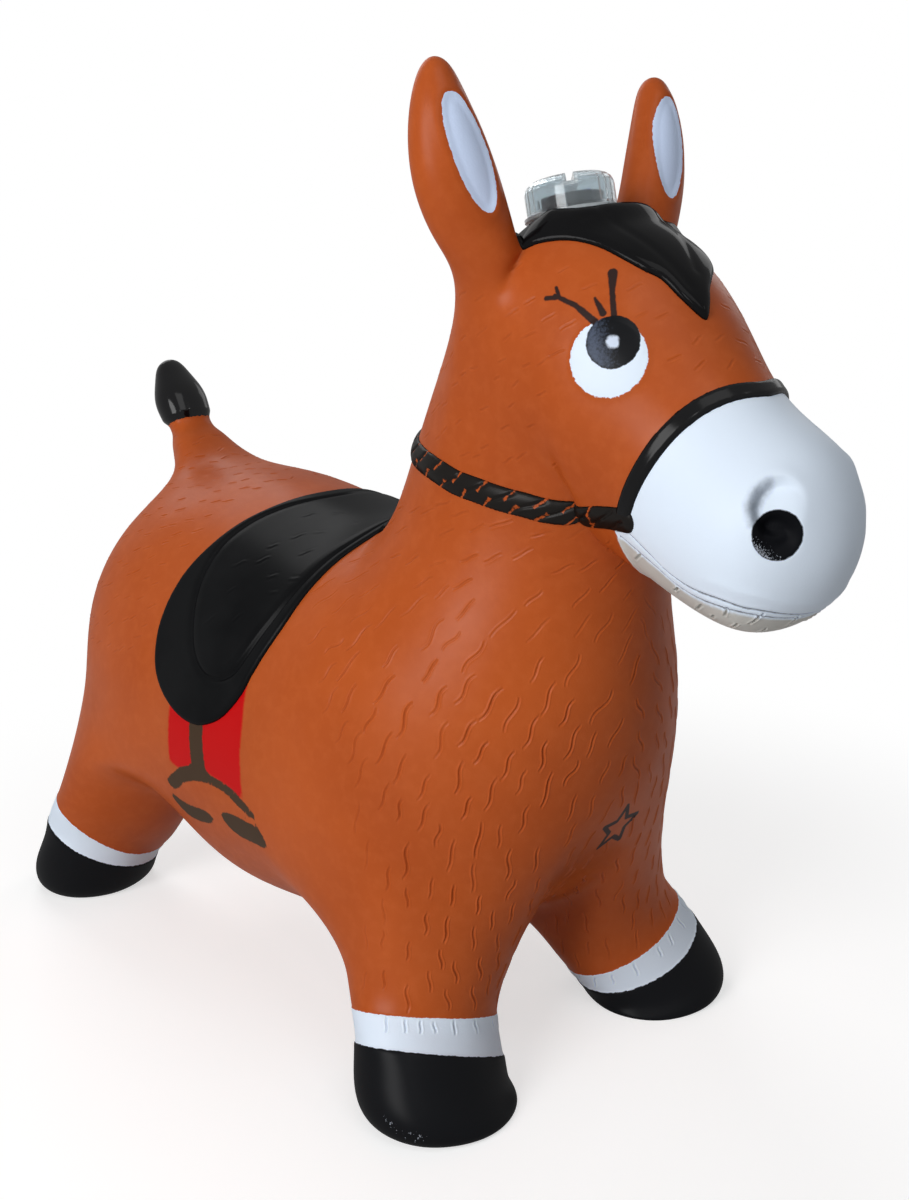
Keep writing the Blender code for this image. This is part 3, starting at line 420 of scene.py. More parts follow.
def coordinates(mesh):
    return read_vectors(mesh.vertices, "co")


def normals(mesh):
    return read_vectors(mesh.vertex_normals, "vector")


def place_points(mesh, points):
    mesh.vertices.foreach_set("co", np.asarray(points, np.float32).ravel())
    mesh.update()


def store(mesh, name, values):
    layer = mesh.attributes.get(name) or mesh.attributes.new(name, "FLOAT", "POINT")
    layer.data.foreach_set("value", np.asarray(values, np.float32))


cage_mesh = bpy.data.meshes.new("cage")
cage = horse_cage()
cage_mesh.from_pydata(cage.points, [], list(cage.faces.values()))
cleaned(cage_mesh)
coarse = coordinates(subdivided(cage_mesh, 1))
middle = (coarse[:, 1].min() + coarse[:, 1].max()) / 2
cage_mesh.transform(Matrix.Translation((0, -middle, 0)))
body_mesh = subdivided(cage_mesh, SKIN_LEVELS)
body_points = coordinates(body_mesh)
body_normals = normals(body_mesh)
body_quads = [tuple(face.vertices) for face in body_mesh.polygons]
body_tree = BVHTree.FromPolygons([tuple(p) for p in body_points], body_quads)


def on_body(point):
    """The nearest place on the smooth body, and the normal there."""
    place, normal, _, _ = body_tree.find_nearest(point)
    return place, normal


# Outlines and distances, all in millimetres in the two directions of a chart

# Distance of every place that a mark doesn't reach
FAR = 100.0


def rounded(points, closed=True, steps=5):
    """A smooth line through given points."""
    count = len(points)
    spots = [np.array(point, float) for point in points]
    line = []
    for i in range(count if closed else count - 1):
        before = spots[i - 1] if closed or i else spots[i]
        start = spots[i]
        end = spots[(i + 1) % count]
        after = spots[(i + 2) % count] if closed or i + 2 < count else end
        for step in range(steps):
            t = step / steps
            line.append(
                0.5
                * (
                    2 * start
                    + (end - before) * t
                    + (2 * before - 5 * start + 4 * end - after) * t * t
                    + (3 * start - before - 3 * end + after) * t * t * t
                )
            )
    if not closed:
        line.append(spots[-1])
    return np.array(line)


def line_distance(spots, line, widths=None):
    """Distance to an open line, less its half width where widths are given."""
    best = np.full(len(spots), np.inf)
    for i in range(len(line) - 1):
        start = line[i]
        way = line[i + 1] - start
        t = np.clip(((spots - start) @ way) / max(way @ way, 1e-12), 0, 1)
        reach = np.linalg.norm(spots - start - t[:, None] * way, axis=1)
        if widths is not None:
            reach = reach - (widths[i] + (widths[i + 1] - widths[i]) * t)
        best = np.minimum(best, reach)
    return best


def outline_distance(spots, outline):
    """Distance to a closed outline, negative inside it."""
    ring = np.vstack([outline, outline[:1]])
    reach = line_distance(spots, ring)
    inside = np.zeros(len(spots), bool)
    for (x0, y0), (x1, y1) in zip(ring, ring[1:]):
        if y0 == y1:
            continue
        crosses = (spots[:, 1] > min(y0, y1)) & (spots[:, 1] <= max(y0, y1))
        at = x0 + (spots[:, 1] - y0) * (x1 - x0) / (y1 - y0)
        inside ^= crosses & (spots[:, 0] < at)
    return np.where(inside, -reach, reach)


def between(points, back, up):
    """Whether points lie between two places back and two heights, in metres."""
    low = (points[:, 1] > back[0]) & (points[:, 2] > up[0])
    return low & (points[:, 1] < back[1]) & (points[:, 2] < up[1])


def only(mask, field, points):
    """The field where the mask is true, and far away elsewhere."""
    reach = np.full(len(points), FAR)
    if mask.any():
        reach[mask] = field(points[mask])
    return reach


def smoothstep(low, high, values):
    t = np.clip((values - low) / (high - low), 0, 1)
    return t * t * (3 - 2 * t)


def bell(values, width):
    return np.exp(-((values / width) ** 2))


def dome(depth, radius):
    """A border's quarter round: 0 at the edge and 1 from the radius inward."""
    return np.sqrt(np.clip(1 - (1 - np.clip(depth / radius, 0, 1)) ** 2, 0, 1))


def looked_up(values, rows):
    """The rows' second numbers, read between their first ones."""
    return np.interp(values, *zip(*rows))


# Charts: millimetres along and across the place that a mark lies on

BARREL_WRAP = 0.120
BARREL_AXIS = 0.156


def barrel_chart(points):
    """Way back along the barrel, and way down round it from the top, the same on both sides."""
    down = BARREL_WRAP * np.arctan2(np.abs(points[:, 0]), points[:, 2] - BARREL_AXIS)
    return np.stack([points[:, 1], down], 1) / MM


def local_chart(points, centre, normal):
    """A flat chart about a place on the right side, which the left side mirrors, and the depth off it."""
    folded = points.copy()
    folded[:, 0] = -np.abs(folded[:, 0])
    out = Vector(normal).normalized()
    along = Vector((0, 0, 1)).cross(out).normalized()
    up = out.cross(along)
    away = (folded - np.array(centre) * MM) / MM
    return np.stack([away @ np.array(along), away @ np.array(up)], 1), away @ np.array(out)


# Saddle: outline and inner panel on the barrel chart, right half from the cantle down and forward

SADDLE = (
    (79, 0), (80, 12), (84, 34), (90, 56), (95, 78), (99, 99), (100, 121), (98, 139), (92, 156),
    (81, 168), (66, 175.5), (51, 177), (38, 173), (26, 165), (15, 151), (10, 138), (5.5, 125),
    (0, 107), (-3, 84), (-7, 62), (-14, 42), (-19, 22), (-21, 0),
)
PANEL = (
    (68, 0), (69.5, 12), (76, 32), (83, 54), (86, 77), (81, 104), (71, 126), (61, 140), (49, 147.5),
    (36, 147), (25, 141), (19, 131), (14, 118), (9, 103), (5, 84), (1, 64), (-6, 44), (-10, 22), (-11, 0),
)


def both_sides(half):
    return [*half, *[(along, -down) for along, down in half[-2:0:-1]]]


SADDLE_THICKNESS = 2.2
SADDLE_ROUND = 3.0
PANEL_GROOVE = 1.7
PANEL_RISE = 0.7
saddle_outline = rounded(both_sides(SADDLE))
panel_outline = rounded(both_sides(PANEL))


def saddle_field(points):
    near = between(points, (-0.05, 0.13), (0.10, 0.5))
    return only(near, lambda spots: outline_distance(barrel_chart(spots), saddle_outline), points)


def saddle_height(points, depth):
    """Height above the skin for the depth inside the border."""
    panel = outline_distance(barrel_chart(points), panel_outline)
    height = SADDLE_THICKNESS * dome(depth, SADDLE_ROUND)
    height -= PANEL_GROOVE * bell(panel, 1.5)
    height += PANEL_RISE * smoothstep(0, -7, panel)
    return height + saddle_grooves.relief(points) * smoothstep(-2, -5, panel)


# Forelock: outline seen from above in (x, y), from beside the right ear forward to its tip

FORELOCK = (
    (-43, -104), (-46, -113), (-44, -121), (-39, -127), (-33, -139), (-29, -152), (-26.5, -164.5),
    (-23.5, -174), (-19.5, -181), (-16.5, -190), (-11, -198.5), (-5, -196), (1, -191), (8, -186.5),
    (17, -180), (24, -170), (29, -156), (35, -142), (43, -131), (50, -122), (52, -113), (46, -102),
    (35, -93), (20, -86), (0, -83), (-20, -86), (-34, -94),
)

# Height of its upper edge at places across, and middle lines of its two rolls and of its grooves
FORELOCK_TOP = (
    (-60, 418), (-48, 423), (-38, 427), (-28, 434), (-15, 446), (25, 446), (34, 442), (41, 435),
    (48, 427), (54, 418), (60, 410),
)
FORELOCK_BROW = ((19, -93), (32, -100), (41, -113), (39, -129), (33, -144))
FORELOCK_ROLL = (
    (-28, -126), (-22, -137), (-9, -144), (6, -144), (20, -138), (29, -125), (33, -110), (30, -97),
)
LOCKS = (
    ((-16, -140), (-16, -156), (-14, -172), (-11, -188)),
    ((16, -126), (16, -146), (10, -164), (-2, -184)),
    ((31, -116), (30, -132), (24, -150), (14, -168)),
)
FORELOCK_THICKNESS = 2.8
FORELOCK_ROUND = 4.0
BROW_RISE = 5.6
ROLL_RISE = 4.2
LOCK_GROOVE = 0.45
forelock_outline = rounded(FORELOCK)
forelock_brow = rounded(FORELOCK_BROW, closed=False)
forelock_roll = rounded(FORELOCK_ROLL, closed=False)
lock_lines = [rounded(line, closed=False) for line in LOCKS]


def forelock_field(points):
    def field(near):
        spots = near[:, :2] / MM
        seat = RIM_RADIUS / MM + 0.4 - np.hypot(spots[:, 0], spots[:, 1] - MODULE_PLACE.y / MM)
        high = near[:, 2] / MM - looked_up(spots[:, 0], FORELOCK_TOP)
        return np.maximum.reduce([outline_distance(spots, forelock_outline), seat, high])

    return only(points[:, 2] > 0.37, field, points)


def forelock_height(points, depth):
    spots = points[:, :2] / MM
    height = FORELOCK_THICKNESS * dome(depth, FORELOCK_ROUND)
    brow = BROW_RISE * bell(line_distance(spots, forelock_brow), 9.0)
    roll = ROLL_RISE * bell(line_distance(spots, forelock_roll), 6.5)
    height += np.maximum(brow, roll) * smoothstep(0, 6, depth)
    for line in lock_lines:
        height -= LOCK_GROOVE * bell(line_distance(spots, line), 2.2) * smoothstep(1.5, 5, depth)
    return height


# Noseband: a strap round the nose, in a plane that leans forward and bows forward over the bridge

BAND_FOOT = np.array((-186.4, 307.5))
BAND_AHEAD = np.array((-0.898, -0.441))
BAND_HALF = 3.9
BAND_BOW = 11.0
BAND_BACK = -2.5
BAND_REACH = 42.0
BAND_ROUND = 7.0
BAND_END = 304.5
BAND_THICKNESS = 1.9


def band_way(points):
    """Millimetres ahead of the noseband's middle line."""
    side = points[:, 1:] / MM - BAND_FOOT
    out = np.hypot(points[:, 0] / MM, BAND_ROUND) - BAND_ROUND
    share = np.clip(1 - out / BAND_REACH, 0, 1)
    return side @ BAND_AHEAD - BAND_BACK - BAND_BOW * share**1.3


def band_field(points):
    reach = np.abs(band_way(points)) - BAND_HALF
    reach = np.maximum(reach, BAND_END - points[:, 2] / MM)
    return np.where(between(points, (-0.5, -0.16), (0.29, 0.5)), reach, FAR)


def band_height(points, depth):
    return BAND_THICKNESS * dome(depth, 2.2)


# Cheek rope: a twisted relief round the back of the neck, with its middle line on the right half

ROPE = (
    (-43.0, -185.0, 306.5), (-42.4, -179.9, 306.1), (-41.4, -170.7, 305.5), (-39.2, -157.4, 303.6),
    (-40.1, -147.5, 303.4), (-45.6, -139.7, 304.2), (-50.2, -131.5, 306.2), (-53.3, -124.3, 307.4),
    (-55.8, -116.4, 308.9), (-57.8, -106.9, 310.9), (-59.1, -96.2, 312.6), (-58.9, -87.2, 315.1),
    (-57.4, -76.4, 317.6), (-50.6, -60.6, 319.8), (-44.0, -49.0, 321.5), (-34.0, -40.0, 323.5),
    (-20.0, -33.5, 325.5), (0.0, -31.0, 326.0),
)
ROPE_HALF = 6.0
ROPE_PAINT = 6.4
ROPE_PITCH = 14.0
ROPE_THICKNESS = 2.3
STRAND_GROOVE = 0.9
STRAND_GAP = 0.30

# Ahead of this place, in metres, the rope is black all over
ROPE_SOLID = -0.172
rope_line = rounded(ROPE, closed=False, steps=2)


def rope_chart(points):
    """Distance to the rope's middle line, way along it, and way up across it."""
    folded = points / MM
    folded[:, 0] = -np.abs(folded[:, 0])
    best = np.full(len(points), np.inf)
    along = np.zeros(len(points))
    across = np.zeros(len(points))
    start = 0.0
    for first, last in zip(rope_line, rope_line[1:]):
        way = last - first
        length = np.linalg.norm(way)
        t = np.clip(((folded - first) @ way) / length**2, 0, 1)
        away = folded - first - t[:, None] * way
        reach = np.linalg.norm(away, axis=1)
        nearer = reach < best
        best = np.where(nearer, reach, best)
        along = np.where(nearer, start + t * length, along)
        across = np.where(nearer, away[:, 2], across)
        start += length
    return best, along, np.sign(across) * best


def rope_field(points):
    near = np.abs(points[:, 2] - 0.312) < 0.03
    return only(near, lambda spots: rope_chart(spots)[0] - ROPE_HALF, points)


def rope_groove(points):
    """Distance to the nearest groove between two strands."""
    _, along, across = rope_chart(points)
    slant = 1.7 - 0.9 * smoothstep(20, 110, along)
    phase = (along + slant * across + 1.2 * np.sin(across * pi / ROPE_HALF)) / ROPE_PITCH
    return np.abs(phase - np.round(phase)) * ROPE_PITCH / np.sqrt(1 + slant**2)


def rope_height(points, depth):
    height = ROPE_THICKNESS * dome(depth, ROPE_HALF)
    return height - STRAND_GROOVE * bell(rope_groove(points), 0.9) * smoothstep(0.3, 2.0, depth)


# Raised pieces cut out of the body's own surface


def surface_patch(near, levels):
    """The body's faces where near is true at a corner, made finer."""
    keep = [quad for quad in body_quads if any(near[i] for i in quad)]
    used = sorted({i for quad in keep for i in quad})
    index = {old: new for new, old in enumerate(used)}
    mesh = bpy.data.meshes.new("patch")
    mesh.from_pydata([tuple(body_points[i]) for i in used], [], [[index[i] for i in quad] for quad in keep])
    return subdivided(mesh, levels)


def split_along(shape, layer, level):
    """Splits the faces along the line where the layer's value equals the level."""
    for vert in shape.verts:
        if abs(vert[layer] - level) < 0.02:
            vert[layer] = level
    for edge in list(shape.edges):
        low = edge.verts[0][layer] - level
        high = edge.verts[1][layer] - level
        if low * high < 0:
            _, vert = bmesh.utils.edge_split(edge, edge.verts[0], low / (low - high))
            vert[layer] = level
    on_line = [vert for vert in shape.verts if vert[layer] == level]
    bmesh.ops.connect_verts(shape, verts=on_line)


def raised(name, field, height, levels, finer=1, sink=0.5):
    """A closed relief piece over the area where the field is negative, in millimetres."""
    near = field(body_points) < 6
    patch = surface_patch(near, finer)
    values = field(coordinates(patch))
    shape = bmesh.new()
    shape.from_mesh(patch)
    layer = shape.verts.layers.float.new("reach")
    shape.verts.ensure_lookup_table()
    for vert, value in zip(shape.verts, values):
        vert[layer] = value
    for level in levels:
        split_along(shape, layer, level)
    outside = [f for f in shape.faces if sum(v[layer] for v in f.verts) / len(f.verts) > 0]
    bmesh.ops.delete(shape, geom=outside, context="FACES")
    bmesh.ops.delete(shape, geom=[v for v in shape.verts if not v.link_faces], context="VERTS")
    shape.normal_update()
    shape.verts.index_update()
    points = np.array([v.co for v in shape.verts], float)
    out = np.array([v.normal for v in shape.verts], float)
    depth = -np.array([v[layer] for v in shape.verts])
    border = np.array([v.is_boundary for v in shape.verts])
    faces = [[v.index for v in face.verts] for face in shape.faces]
    shape.free()
    rise = np.where(border, -sink, height(points, depth))
    top = points + out * rise[:, None] * MM
    inner = np.where(~border)[0]
    below = points[inner] - out[inner] * (sink + 0.6) * MM
    under = {int(old): len(points) + new for new, old in enumerate(inner)}
    faces += [[under.get(i, i) for i in reversed(face)] for face in faces]
    mesh = bpy.data.meshes.new(name)
    mesh.from_pydata([tuple(p) for p in np.vstack([top, below])], [], faces)
    cleaned(mesh)
    mesh.shade_smooth()
    store(mesh, "depth", np.concatenate([depth, np.zeros(len(inner))]))
    piece = link(name, mesh)
    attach(piece, "horse")
    return piece


# Painted marks on the skin's right side, which the left side mirrors

# The mouth's two lines, seen from the side in (y, z)
MOUTH = (
    (-170, 312), (-180.4, 304), (-187, 299.6), (-198, 292.6), (-206.5, 287), (-219.3, 282),
    (-234, 279.6), (-242.5, 277), (-248.7, 275.4), (-254.5, 272), (-262, 267),
)
LIP = (
    (-170, 303), (-177.2, 298), (-188.2, 292.4), (-200, 286.6), (-212.1, 280), (-222.7, 277),
    (-234, 275.4), (-243, 273.6), (-250, 271), (-262, 264),
)
mouth_line = rounded(MOUTH, closed=False)
lip_line = rounded(LIP, closed=False)

# Rear end of the pale jaw
JAW_BACK = -177.0

# The eye with its lashes, as middle lines and half widths
EYE = (-46.6, -176.1, 375.3)
EYE_NORMAL = (-0.85, -0.46, 0.25)
EYE_RADIUS = 16.7
PUPIL = (-44.1, -176.4, 381.8)
PUPIL_RADIUS = 11.5
GLINT_RADIUS = 2.9
LASHES = (
    (((-45.5, -167.4, 389.6), (-46.7, -156.8, 396.3), (-48.3, -146.5, 399.7)), (1.7, 1.2, 1.0)),
    (((-48.0, -149.0, 398.8), (-47.2, -146.0, 403.2)), (1.0, 0.8)),
    (((-48.0, -148.0, 399.0), (-49.6, -142.8, 398.5)), (1.0, 1.1)),
    (((-40.4, -173.3, 393.0), (-37.2, -169.2, 402.0), (-34.0, -166.0, 409.8)), (1.4, 1.2, 2.2)),
    (((-42.7, -169.2, 393.3), (-42.1, -163.9, 399.2)), (1.6, 0.7)),
)

# The nostril, and on its chart the flare's middle and a line of grey painted shade along the flare's wall,
# with half widths
NOSTRIL = (-32.3, -256.1, 309.8)
NOSTRIL_NORMAL = (-0.64, -0.77, 0.04)
NOSTRIL_RADIUS = 10.6
FLARE = (1.3, 10.5)
FLARE_RADIUS = 12.4
FLARE_SHADE = ((-9.7, 4.5), (-10.2, 10.5), (-7.4, 16.5), (-2.6, 20.8))
FLARE_SHADE_WIDTHS = (1.2, 2.2, 1.8, 0.6)

# A worn line along the front of the right fore hoof
WEAR = ((-124.5, -118.0, 13.5), (-121.5, -127.0, 9.5), (-116.4, -134.3, 8.7))

# Ear patches, as painted on each ear: way out and up of the middle, half length, half width, lean out
EarPatch = namedtuple("EarPatch", "out up length width lean")
EAR_PATCHES = {
    -1: EarPatch(68.6, 459.0, 25.6, 9.4, 15.5),
    1: EarPatch(66.4, 465.0, 24.6, 9.6, 14.0),
}

# Middle of the ear at three heights: height, way out, way back
EAR_MIDDLES = ((0.43, 0.0605, -0.1060), (0.46, 0.0687, -0.1024), (0.49, 0.0724, -0.0980))

# The blanket's edge and the stirrup, on the barrel chart
BLANKET = (
    (76, 120), (76, 172), (77, 190), (78, 206), (70, 208.5), (60, 205), (43, 203), (28, 205),
    (18, 208), (10.4, 211), (10.8, 183), (10, 166), (12, 146), (14, 120),
)
STRAP = ((57, 165), (56.5, 190), (56, 206), (42, 206), (44, 190), (45, 165))
ARCH = (
    (85.5, 221), (77.4, 214), (70, 208.5), (60, 204.3), (43, 201.7), (38.7, 203.9), (28, 204.4),
    (17.8, 206.7), (10.6, 210.7), (3.4, 214.2), (0, 219.5), (7.4, 218.5), (15.8, 215.5), (25.7, 211.1),
    (36.5, 209.9), (46.8, 210.3), (59, 213.4), (68.5, 218), (76.7, 224.3), (82.2, 224.8),
)
FOOT_BARS = (
    ((86, 229.3), (79.8, 231.4), (69.7, 232.9), (55, 231.4), (46.9, 233.3), (50.4, 239.3), (62.5, 243.3),
     (74.9, 243.8), (84, 238)),
    ((36.5, 227), (25.3, 223.4), (12.2, 223.4), (1.5, 223.6), (-2.4, 225.9), (-4.2, 235), (9.1, 237.1),
     (22.1, 238.5), (32, 236)),
)

# Sock and hoof lines: a height at a place out and back on the leg, and the line's rise each way
Line = namedtuple("Line", "height out back rise_out rise_back")
SOCK_TOPS = {
    ("fore", -1): Line(48.6, 77.2, -118.2, 0.37, -0.28),
    ("fore", 1): Line(32.4, 61.2, -121.0, 0.37, -0.18),
    ("hind", -1): Line(42.5, 98.6, 189.6, 0.55, 0.90),
    ("hind", 1): Line(42.5, 98.6, 189.6, 0.55, 0.90),
}
HOOF_TOPS = {
    ("fore", -1): Line(31.7, 78.6, -126.9, 0.45, -0.29),
    ("fore", 1): Line(20.3, 65.7, -129.9, 0.33, -0.04),
    ("hind", -1): Line(27.5, 94.3, 193.4, 0.375, 0.52),
    ("hind", 1): Line(27.5, 94.3, 193.4, 0.375, 0.52),
}

# Foot of the tail's black tuft, and the tail's way up
TAIL_FOOT = np.array((0.0, 0.2185, 0.3050))
TAIL_AXIS = np.array((0.0, 0.42, 0.907))

# A plain star in outline on the chest
STAR_PLACE = (8.0, -145.0, 134.0)
STAR_RADIUS = 13.5
STAR_WAIST = 6.2
STAR_LINE = 1.4


def line_level(line, out, back):
    """Height of a sock's or a hoof's line at a place out and back on the leg."""
    return line.height + (out - line.out) * line.rise_out + (back - line.back) * line.rise_back


def leg_line_field(points, lines):
    """Height above the sock's or the hoof's line, in millimetres."""
    millimetres = points / MM
    reach = np.full(len(points), FAR)
    for (end, side), line in lines.items():
        here = (points[:, 0] * side > 0) & ((points[:, 1] < 0.05) == (end == "fore"))
        level = line_level(line, np.abs(millimetres[:, 0]), millimetres[:, 1])
        steep = sqrt(1 + line.rise_out**2 + line.rise_back**2)
        reach = np.where(here, (millimetres[:, 2] - level) / steep, reach)
    return reach


def tail_field(points):
    reach = (TAIL_FOOT - points) @ TAIL_AXIS / MM
    return np.where(between(points, (0.19, 0.5), (0.28, 0.5)), reach, FAR)


def near_place(points, centre, reach):
    """Whether points lie within reach, in millimetres, of a place on either side."""
    x, y, z = points.T / MM
    away = np.hypot(np.hypot(np.abs(x) - abs(centre[0]), y - centre[1]), z - centre[2])
    return away < reach


def chart_spots(spots, centre, normal):
    chart, _ = local_chart(np.array(spots, float) * MM, centre, normal)
    return chart


def disk_field(points, frame_centre, normal, centre, radius):
    spot = chart_spots([centre], frame_centre, normal)[0]

    def field(near):
        return np.linalg.norm(local_chart(near, frame_centre, normal)[0] - spot, axis=1) - radius

    return only(near_place(points, frame_centre, radius + 14), field, points)


def eye_disk(points, centre, radius):
    return disk_field(points, EYE, EYE_NORMAL, centre, radius)


def nostril_field(points):
    return disk_field(points, NOSTRIL, NOSTRIL_NORMAL, NOSTRIL, NOSTRIL_RADIUS)


def lash_field(points):
    def field(near):
        chart, _ = local_chart(near, EYE, EYE_NORMAL)
        lines = [(chart_spots(spots, EYE, EYE_NORMAL), widths) for spots, widths in LASHES]
        return np.minimum.reduce([line_distance(chart, line, widths) for line, widths in lines])

    return only(near_place(points, EYE, 55), field, points)


def ear_patch_field(points):
    field = np.full(len(points), FAR)
    for side, patch in EAR_PATCHES.items():
        lean = radians(patch.lean)
        across = points[:, 0] * side / MM - patch.out
        high = points[:, 2] / MM - patch.up
        along = high * cos(lean) + across * sin(lean)
        wide = across * cos(lean) - high * sin(lean)
        reach = np.hypot(along / patch.length, wide / patch.width)
        slope = np.hypot(along / patch.length**2, wide / patch.width**2) / np.maximum(reach, 1e-6)
        here = (points[:, 0] * side > 0.02) & (points[:, 1] < -0.09) & (points[:, 2] > 0.42)
        heights, outs, backs = zip(*EAR_MIDDLES)
        front = (points[:, 0] * side - np.interp(points[:, 2], heights, outs)) * sin(radians(EAR_TURN))
        front -= (points[:, 1] - np.interp(points[:, 2], heights, backs)) * cos(radians(EAR_TURN))
        field = np.where(here & (front > 0.001), (reach - 1) / np.maximum(slope, 1e-6), field)
    return field


def muzzle_field(points):
    """Negative on the pale muzzle: ahead of the noseband, and ahead of the jaw's corner below it."""
    side = points / MM
    below = smoothstep(BAND_END + 3, BAND_END - 5, side[:, 2])
    reach = -band_way(points) * (1 - below) + (side[:, 1] - JAW_BACK) * below
    return np.where(side[:, 1] > -150, FAR, reach)


def side_way(points, line):
    """Millimetres above a line that is seen from the side."""
    return (points[:, 2] / MM - np.interp(-points[:, 1] / MM, -line[:, 0], line[:, 1])) * 0.93


def star_field(points):
    corners = []
    for i in range(10):
        turn = pi / 2 + tau * i / 10
        reach = STAR_WAIST if i % 2 else STAR_RADIUS
        corners.append((reach * cos(turn), reach * sin(turn)))

    def field(near):
        away = near / MM - np.array(STAR_PLACE)
        return np.abs(outline_distance(away[:, [0, 2]], np.array(corners))) - STAR_LINE

    near = np.linalg.norm(points / MM - np.array(STAR_PLACE), axis=1) < 26
    return only(near, field, points)


def ink_field(points):
    """Distance to the lashes and to the star's outline."""
    return np.minimum(lash_field(points), star_field(points))


def mouth_field(points):
    """Distance to the nearer of the mouth's two lines."""
    return np.minimum(np.abs(side_way(points, mouth_line)), np.abs(side_way(points, lip_line)))


def paint_fields(points):
    """Every paint's distance in millimetres, negative where it is painted."""
    flank = between(points, (-0.04, 0.13), (0.06, 0.24)) & (np.abs(points[:, 0]) > 0.02)

    def stirrup(near):
        barrel = barrel_chart(near)
        shapes = [np.array(STRAP), rounded(ARCH, steps=2), *[rounded(bar, steps=2) for bar in FOOT_BARS]]
        return np.minimum.reduce([outline_distance(barrel, shape) for shape in shapes])

    socks = leg_line_field(points, SOCK_TOPS)
    muzzle = muzzle_field(points)
    nostril = nostril_field(points)
    pupil = eye_disk(points, PUPIL, PUPIL_RADIUS)
    eye_chart, _ = local_chart(points, PUPIL, EYE_NORMAL)
    nose_chart, _ = local_chart(points, NOSTRIL, NOSTRIL_NORMAL)
    return {
        "red": only(flank, lambda near: outline_distance(barrel_chart(near), np.array(BLANKET)), points),
        "dark": only(flank, stirrup, points),
        "white": np.minimum(socks, muzzle),
        "eye": eye_disk(points, EYE, EYE_RADIUS),
        "patch": ear_patch_field(points),
        # Cream-grey paint of the lower jaw, its colour set darker as painted shade under the jaw
        "jaw_cream_and_shade": np.maximum(muzzle, side_way(points, lip_line) + 1.5),
        # Painted shade along the two mouth lines, in their grooves
        "mouth_shade": np.where(muzzle < -1, mouth_field(points), FAR),
        "ink": ink_field(points),
        "pupil": pupil,
        "haze": np.maximum(pupil * 6 + 3, 4.6 + eye_chart @ np.array((0.94, 0.34))),
        "glint": eye_disk(points, PUPIL, GLINT_RADIUS),
        "black": leg_line_field(points, HOOF_TOPS),
        "nostril": nostril,
        # Grey painted shade along the wall of the nostril's flare
        "flare_shade": only(
            near_place(points, NOSTRIL, 30),
            lambda near: line_distance(
                local_chart(near, NOSTRIL, NOSTRIL_NORMAL)[0], np.array(FLARE_SHADE), FLARE_SHADE_WIDTHS
            ),
            points,
        ),
        "speck": np.maximum(nostril * 6 + 3, 9.5 + nose_chart @ np.array((0.62, 0.78))),
        "wear": only(
            near_place(points, WEAR[1], 20) & (points[:, 0] < 0),
            lambda near: 3.0 + 0.9 * np.clip(line_distance(near / MM, np.array(WEAR)) - 1.0, 0, None),
            points,
        ),
        "gloss": tail_field(points),
    }


# Relief of the skin itself, in millimetres

HOOF_STEP = 0.8
SOCK_STEP = 0.4
EYE_STEP = 0.6
EAR_RIM = 0.4
EAR_HOLLOW = 0.9
FLARE_HOLLOW = 3.8
FLARE_RIM = 0.5
NOSTRIL_HOLLOW = 4.0
MOUTH_GROOVE = 1.0
LIP_GROOVE = 0.8
JAW_STEP = 0.5
MOUTH_ROLL = 0.5
TUFT_SWELL = 3.8
TAIL_WAIST = 1.6


def skin_relief(points):
    """Height of the skin's own relief."""
    rise = HOOF_STEP * smoothstep(1.2, -1.2, leg_line_field(points, HOOF_TOPS))
    rise += SOCK_STEP * smoothstep(1.0, -1.0, leg_line_field(points, SOCK_TOPS))
    rise += EYE_STEP * smoothstep(1.5, -1.5, eye_disk(points, EYE, EYE_RADIUS))
    patch = ear_patch_field(points)
    rise += EAR_RIM * bell(patch - 1.8, 1.8) - EAR_HOLLOW * smoothstep(0.6, -3.5, patch)
    chart, depth = local_chart(points, NOSTRIL, NOSTRIL_NORMAL)
    near = np.abs(depth) < 14
    flare = np.hypot(chart[:, 0] - FLARE[0], chart[:, 1] - FLARE[1])
    fade = smoothstep(FLARE[0] + 9, FLARE[0] - 8, chart[:, 0] - 0.25 * chart[:, 1])
    rise -= near * FLARE_HOLLOW * smoothstep(FLARE_RADIUS + 0.8, FLARE_RADIUS - 3.2, flare) * fade
    rise += near * FLARE_RIM * bell(flare - FLARE_RADIUS - 2.0, 2.5) * fade
    rise -= NOSTRIL_HOLLOW * smoothstep(0.6, -6.0, nostril_field(points))
    inside = smoothstep(0.5, -2.5, muzzle_field(points))
    mouth = side_way(points, mouth_line)
    lip = side_way(points, lip_line)
    rise -= inside * (MOUTH_GROOVE * bell(mouth, 0.8) + LIP_GROOVE * bell(lip, 0.7))
    rise -= inside * (JAW_STEP * smoothstep(0, -1.5, mouth) + JAW_STEP * smoothstep(0, -1.5, lip))
    rise += inside * MOUTH_ROLL * bell(mouth - 7.5, 2.5) * smoothstep(-0.222, -0.238, points[:, 1])
    bulb = tail_field(points)
    along = np.clip(-bulb, 0, 60)
    rise += TUFT_SWELL * smoothstep(1.5, -4, bulb) * bell(along - 13, 16)
    rise -= TAIL_WAIST * bell(bulb - 6, 6)
    return rise


def refined(mesh, near):
    """Splits the faces that are near at a corner, and not fine yet, into nine."""
    shape = bmesh.new()
    shape.from_mesh(mesh)
    edges = set()
    for face in shape.faces:
        if any(near[v.index] for v in face.verts):
            if max(edge.calc_length() for edge in face.edges) > FINE_EDGE * MM:
                edges.update(face.edges)
    bmesh.ops.subdivide_edges(shape, edges=list(edges), cuts=2, use_grid_fill=True)
    shape.to_mesh(mesh)
    shape.free()


